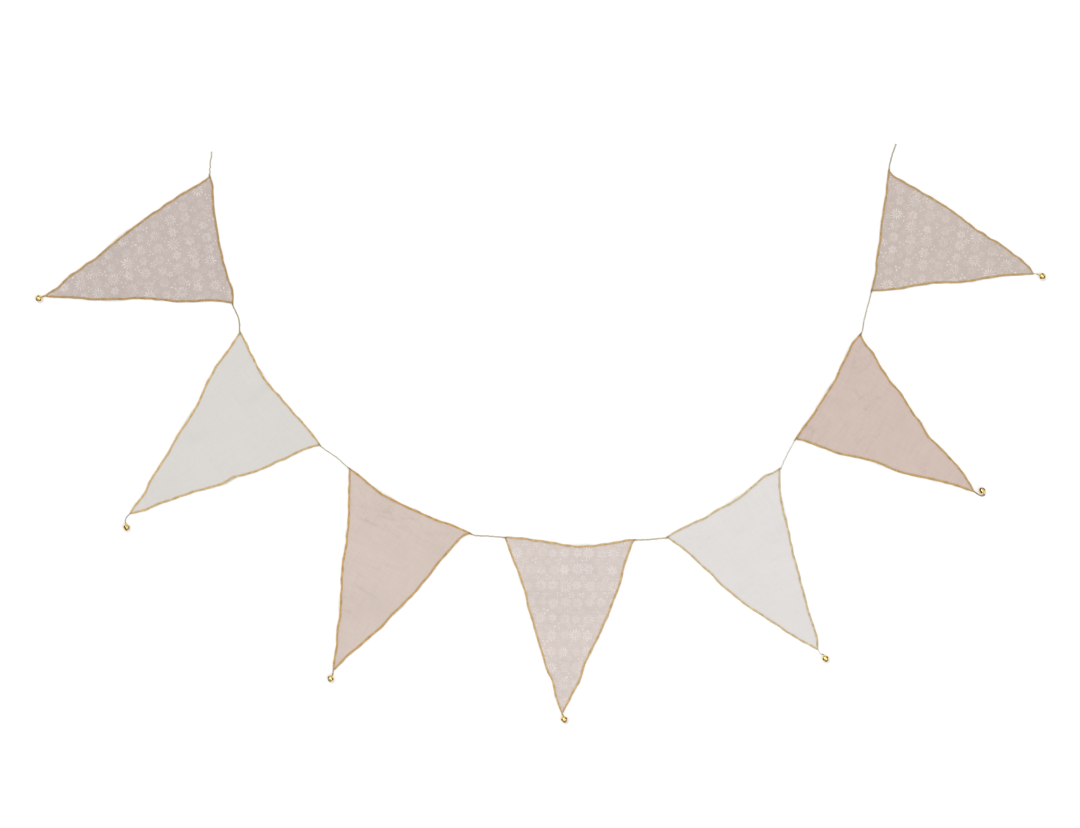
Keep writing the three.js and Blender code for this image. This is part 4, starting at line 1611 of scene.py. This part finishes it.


# Flags of one cloth are the same cloth, and all the edging one thread: their colours differ flag by flag as
# painted light
FLAGS = [
    Flag(
        1, Cloth.PRINT, lit_dye="#BAADA7", thread="#C2A16B", wrinkle=0.42,
        at=(-399.4, 258.7), turn=-79.8, width=160.4, drop=230, tip_shift=30.5,
        base=[(0.08, 1), (0.2, -2), (0.35, -3), (0.5, -3.5), (0.65, -2.75), (0.76, -1.25), (0.92, 2)],
        left=[(0.04, -0.75), (0.15, 2), (0.27, 3.5), (0.43, 4), (0.6, 2.25), (0.7, 0.5), (0.83, 1.5),
              (0.91, -1)],
        right=[(0.1, -2.25), (0.28, 0.5), (0.4, -1.5), (0.5, -1.75), (0.63, 0.5), (0.72, 1.5), (0.85, 0.25)],
        folds=[Ridge((-46, 30), (34, 22), 1.6, 15), Ridge((-30, 84), (44, 92), 1.3, 17),
               Ridge((-14, 128), (-52, 118), 2.6, 18), Ridge((40, 150), (62, 142), 2.2, 17)],
        creases=[Ridge((-52, 21), (36, 20), 0.9, 2.6), Ridge((-47, 31), (28, 28), 0.75, 2.4),
                 Ridge((22, 46), (56, 40), 0.52, 4), Ridge((-22, 62), (24, 66), 0.45, 4.5),
                 Ridge((0, 108), (38, 112), 0.52, 4), Ridge((16, 140), (42, 137), 0.45, 3.5),
                 Ridge((21, 178), (36, 175), 0.45, 4), Ridge((-66, 6), (-40, 22), 0.6, 5)],
    ),
    Flag(
        2, Cloth.CREAM, lit_dye="#CFCCC8", thread="#D9BD88", wrinkle=0.2,
        at=(-325.9, 72.4), turn=-54.7, width=172, drop=243, tip_shift=19,
        base=[(0.1, -2.5), (0.25, -6.75), (0.38, -9), (0.5, -7.25), (0.7, -3.75), (0.9, -0.25)],
        left=[(0.1, 1), (0.23, 3.25), (0.43, -2), (0.53, -0.5), (0.68, -1.5), (0.8, -0.5), (0.88, -2.5),
              (0.95, -0.5)],
        right=[(0.07, -1.5), (0.2, 1.25), (0.35, 3.75), (0.45, 1.5), (0.53, 4), (0.7, 1), (0.77, 1.5),
               (0.85, 0.5), (0.93, 2)],
        folds=[Ridge((-24, 4), (-18, 34), 2.8, 20), Ridge((-40, 110), (-18, 118), 1.8, 18),
               Ridge((58, 118), (34, 108), 2.0, 17)],
        creases=[Ridge((-58, 14), (-36, 30), 0.48, 5), Ridge((64, 8), (38, 22), 0.42, 5),
                 Ridge((-20, 48), (32, 52), 0.36, 4), Ridge((6, 70), (44, 66), 0.36, 3.5),
                 Ridge((-30, 84), (8, 90), 0.42, 4.5), Ridge((0, 138), (30, 142), 0.36, 4),
                 Ridge((2, 172), (24, 168), 0.36, 4)],
    ),
    Flag(
        3, Cloth.ROSE, lit_dye="#C9BAB1", thread="#D2AD6E", wrinkle=1.35,
        at=(-163.5, -68.2), turn=-28.2, width=170.5, drop=231.5, tip_shift=15.5,
        base=[(0.1, -2.25), (0.2, -6.5), (0.35, -9), (0.5, -8), (0.7, -5.75), (0.9, -1)],
        left=[(0.1, -1.5), (0.28, -4), (0.4, -2.75), (0.5, -1), (0.7, -3), (0.8, -1.25), (0.87, -2),
              (0.94, -0.5)],
        right=[(0.05, -4.5), (0.2, -2.5), (0.3, 0), (0.4, 2.75), (0.55, 3), (0.7, 3.5), (0.8, 1.5),
               (0.9, -0.25)],
        folds=[Ridge((-34, 6), (-30, 30), 2.6, 19), Ridge((-46, 66), (30, 58), 1.4, 16),
               Ridge((-16, 112), (46, 120), 1.6, 18), Ridge((-32, 158), (4, 150), 2.0, 17)],
        creases=[Ridge((-66, 10), (-44, 26), 1.15, 5), Ridge((66, 8), (40, 20), 1.05, 5),
                 Ridge((-10, 28), (40, 34), 0.95, 4), Ridge((-48, 46), (-8, 44), 1.05, 4),
                 Ridge((10, 82), (46, 78), 0.95, 4), Ridge((-34, 96), (4, 92), 1.05, 4.5),
                 Ridge((-12, 134), (26, 138), 0.95, 4), Ridge((0, 182), (18, 178), 0.95, 3.5)],
    ),
    Flag(
        4, Cloth.PRINT, lit_dye="#CBBFB9", thread="#D7B983", wrinkle=0.42,
        at=(36.6, -115.2), turn=-1.1, width=161.3, drop=218, tip_shift=-5.8,
        base=[(0.05, 0), (0.2, -2.25), (0.3, -4), (0.45, -8), (0.6, -9.5), (0.72, -7.25), (0.85, -4),
              (0.93, -1)],
        left=[(0.1, -0.75), (0.27, -3), (0.4, -1), (0.57, 0), (0.73, 0.75), (0.84, -1), (0.92, 0.75)],
        right=[(0.03, -1.5), (0.15, 0.25), (0.25, 4), (0.38, 4.75), (0.5, 5), (0.7, 2.25), (0.8, 4),
               (0.9, 2)],
        folds=[Ridge((16, 8), (12, 34), 2.8, 19), Ridge((-52, 52), (-16, 60), 1.8, 16),
               Ridge((44, 74), (24, 82), 2.0, 17), Ridge((-16, 150), (20, 140), 1.4, 17)],
        creases=[Ridge((-64, 8), (-40, 24), 0.6, 5), Ridge((64, 8), (42, 24), 0.6, 5),
                 Ridge((-14, 41), (12, 42), 0.52, 3.5), Ridge((-40, 55), (-12, 57), 0.52, 3.5),
                 Ridge((-24, 73), (4, 74), 0.52, 3.5), Ridge((-6, 98), (34, 94), 0.45, 4),
                 Ridge((-30, 112), (-4, 116), 0.45, 4), Ridge((-14, 176), (6, 178), 0.45, 4)],
    ),
    Flag(
        5, Cloth.CREAM, lit_dye="#D6D2D0", thread="#D9C69E", wrinkle=0.2,
        at=(228.4, -70.6), turn=31.3, width=164, drop=217, tip_shift=5.5,
        base=[(0.1, 0), (0.3, -3.5), (0.45, -4), (0.6, -5), (0.72, -2.5), (0.86, 1.25), (0.95, 0)],
        left=[(0.1, -0.75), (0.2, 1.25), (0.3, 3.75), (0.4, 7), (0.55, 8.5), (0.65, 7.25), (0.75, 5.5),
              (0.82, 5.25), (0.9, 3)],
        right=[(0.1, -4.75), (0.2, -6.5), (0.3, -5.5), (0.45, -5.25), (0.65, -3), (0.8, -1.25), (0.88, 1.25),
               (0.94, 2)],
        folds=[Ridge((16, 4), (8, 30), 2.2, 19), Ridge((58, 44), (34, 62), 2.4, 18),
               Ridge((-42, 96), (-20, 86), 1.8, 18)],
        creases=[Ridge((-62, 10), (-38, 26), 0.48, 5), Ridge((60, 12), (36, 20), 0.42, 5),
                 Ridge((-44, 42), (-6, 38), 0.36, 4), Ridge((-30, 64), (18, 68), 0.42, 4),
                 Ridge((4, 92), (36, 88), 0.36, 4), Ridge((-18, 122), (20, 118), 0.36, 4.5),
                 Ridge((-8, 160), (14, 156), 0.36, 4)],
    ),
    Flag(
        6, Cloth.ROSE, lit_dye="#C6B4AB", thread="#CCAB6E", wrinkle=1.5,
        at=(359.1, 74.9), turn=58.3, width=153.2, drop=223.8, tip_shift=-15.6,
        base=[(0.1, -1), (0.3, -3), (0.5, -3.25), (0.62, -2.75), (0.8, 0.75), (0.9, 2)],
        left=[(0.05, -1), (0.15, 0.5), (0.25, 2), (0.43, -1), (0.6, 2.5), (0.83, -1)],
        right=[(0.05, -2), (0.12, -1.5), (0.28, -4.5), (0.37, -2), (0.45, -4.25), (0.56, -4), (0.63, -6.25),
               (0.7, -2.75), (0.8, 0.25), (0.9, 2.25)],
        folds=[Ridge((-4, 6), (2, 34), 2.0, 18), Ridge((50, 56), (-24, 64), 1.6, 17),
               Ridge((20, 128), (-10, 122), 2.4, 17), Ridge((-44, 104), (-34, 92), 1.8, 15)],
        creases=[Ridge((-60, 8), (-38, 24), 1.15, 5), Ridge((60, 10), (38, 22), 1.05, 5),
                 Ridge((12, 42), (46, 38), 1.05, 4), Ridge((-46, 48), (-16, 44), 0.95, 4),
                 Ridge((-20, 82), (18, 78), 1.05, 4), Ridge((0, 96), (34, 100), 0.95, 4),
                 Ridge((-24, 146), (6, 150), 0.95, 4), Ridge((-18, 184), (0, 180), 0.95, 3.5)],
    ),
    Flag(
        7, Cloth.PRINT, lit_dye="#BDB0A8", thread="#C8A975", wrinkle=0.42,
        at=(424.5, 270.1), turn=81.8, width=151.6, drop=196.6, tip_shift=-26.1,
        base=[(0.15, -2), (0.3, -1), (0.42, -1.5), (0.6, -0.5), (0.78, -1)],
        left=[(0.15, 1), (0.33, -1.5), (0.45, -1), (0.55, 1), (0.67, -0.25), (0.8, -1.75), (0.9, -1)],
        right=[(0.04, -2.75), (0.1, -1), (0.2, 0.75), (0.3, 3), (0.45, 4.5), (0.6, 3.25), (0.74, 5.5),
               (0.86, 5.25), (0.95, 4)],
        folds=[Ridge((-38, 34), (30, 26), 1.5, 15), Ridge((44, 62), (8, 74), 2.0, 17),
               Ridge((-36, 96), (-6, 104), 1.8, 16)],
        creases=[Ridge((-58, 10), (-36, 20), 0.6, 5), Ridge((58, 12), (40, 24), 0.52, 5),
                 Ridge((-30, 46), (22, 42), 0.52, 4), Ridge((-42, 66), (-10, 70), 0.45, 4),
                 Ridge((-20, 84), (16, 88), 0.52, 4), Ridge((-30, 122), (4, 118), 0.45, 4),
                 Ridge((-24, 150), (-4, 148), 0.45, 4)],
    ),
]

# The runs are one string; their yarn colours differ from run to run as painted light
STRINGS = [
    StringRun("tie_start", "#BEB3A2", [(-413.4, 342.1), (-413.8, 346.4), (-413, 350.3), (-413, 357.4),
                                       (-411.6, 362.6)], cut_end=(-411.4, 368.6)),
    StringRun("string_1_2", "#A49570", [(-384, 174.5), (-381.9, 170.1), (-379.4, 165.1), (-377.6, 159.5),
                                        (-376.4, 152)]),
    StringRun("string_2_3", "#BBB6A2", [(-267.6, -5.2), (-256.3, -12.5), (-246.9, -20.7)]),
    StringRun("string_3_4", "#BAA792", [(-82.8, -110.9), (-78.1, -111.3), (-68.3, -111.7), (-57.9, -112.4)]),
    StringRun("string_4_5", "#BCAB89", [(124.1, -116.6), (139.4, -115.8), (150, -114.6)]),
    StringRun("string_5_6", "#D1CEC4", [(305.9, -13.8), (311.6, -3)]),
    StringRun("string_6_7", "#BCB6A1", [(402.4, 146), (403.2, 152.2), (404.7, 159.5), (407.1, 169.9),
                                        (410, 180.3)]),
    StringRun("tie_end", "#A8A38B", [(436.6, 354.5), (440.1, 366.8)], cut_end=(444, 378)),
]

BELLS = [
    JingleBell(1, "#A5835A", at=(-627.0, 185.2), turn=28, tilt=-27, roll=45, via=[]),
    JingleBell(2, "#A6A1A2", at=(-517.8, -100.8), turn=102, tilt=-27, roll=-20,
               via=[(-515.9, -86.2), (-518.2, -89.2), (-519.3, -92.2)], twist=DOUBLE_TWIST),
    JingleBell(3, "#9A7556", at=(-262.5, -289.7), turn=64, tilt=-24, roll=45, via=[(-259.6, -282.6)],
               twist=DOUBLE_TWIST),
    JingleBell(4, "#94784F", at=(29.4, -340.8), turn=108, tilt=-26, roll=45, via=[],
               twist=DOUBLE_TWIST),
    JingleBell(5, "#CFC5C6", at=(355.8, -264.8), turn=117, tilt=-26, roll=45,
               via=[(349.1, -258.2), (351.4, -259.6)]),
    JingleBell(6, "#917A58", at=(551.4, -55.1), turn=-59, tilt=-27, roll=28,
               via=[(545.1, -58.6), (548.5, -60.6), (551.6, -61.6)], twist=CHAIN_TWIST),
    JingleBell(7, "#C9B8AE", at=(626.5, 212.9), turn=153, tilt=-26, roll=45, via=[(618.6, 215.9)]),
]

# The inside colour is near-black: dull brass, and painted shade in the bell's hollow and beside its slots
BELL_BRASS = BrassFinish("stamped_tumbled_brass", colour="#F0D28A", tarnish="#CFA655", inside="#2E210E",
                         radius=JingleBell.radius, wall=JingleBell.wall)
WHITE_BOARD = BoardFinish("rolled_white_board", colour="#FBFBFA", shade="#F9F9F8")


def main() -> None:
    """Build the studio, then the strings, the flags and the bells."""
    logging.basicConfig(level=logging.INFO, format="%(message)s")
    Studio().build(WHITE_BOARD.material())
    for string, before, after in zip(STRINGS, [None, *FLAGS], [*FLAGS, None]):
        string.build(before, after)
    for flag in FLAGS:
        flag.build()
    brass = BELL_BRASS.material()
    shell = BELLS[0].shell_shape()
    for bell, flag in zip(BELLS, FLAGS):
        bell.build(shell, flag, brass)


if __name__ == "__main__":
    main()
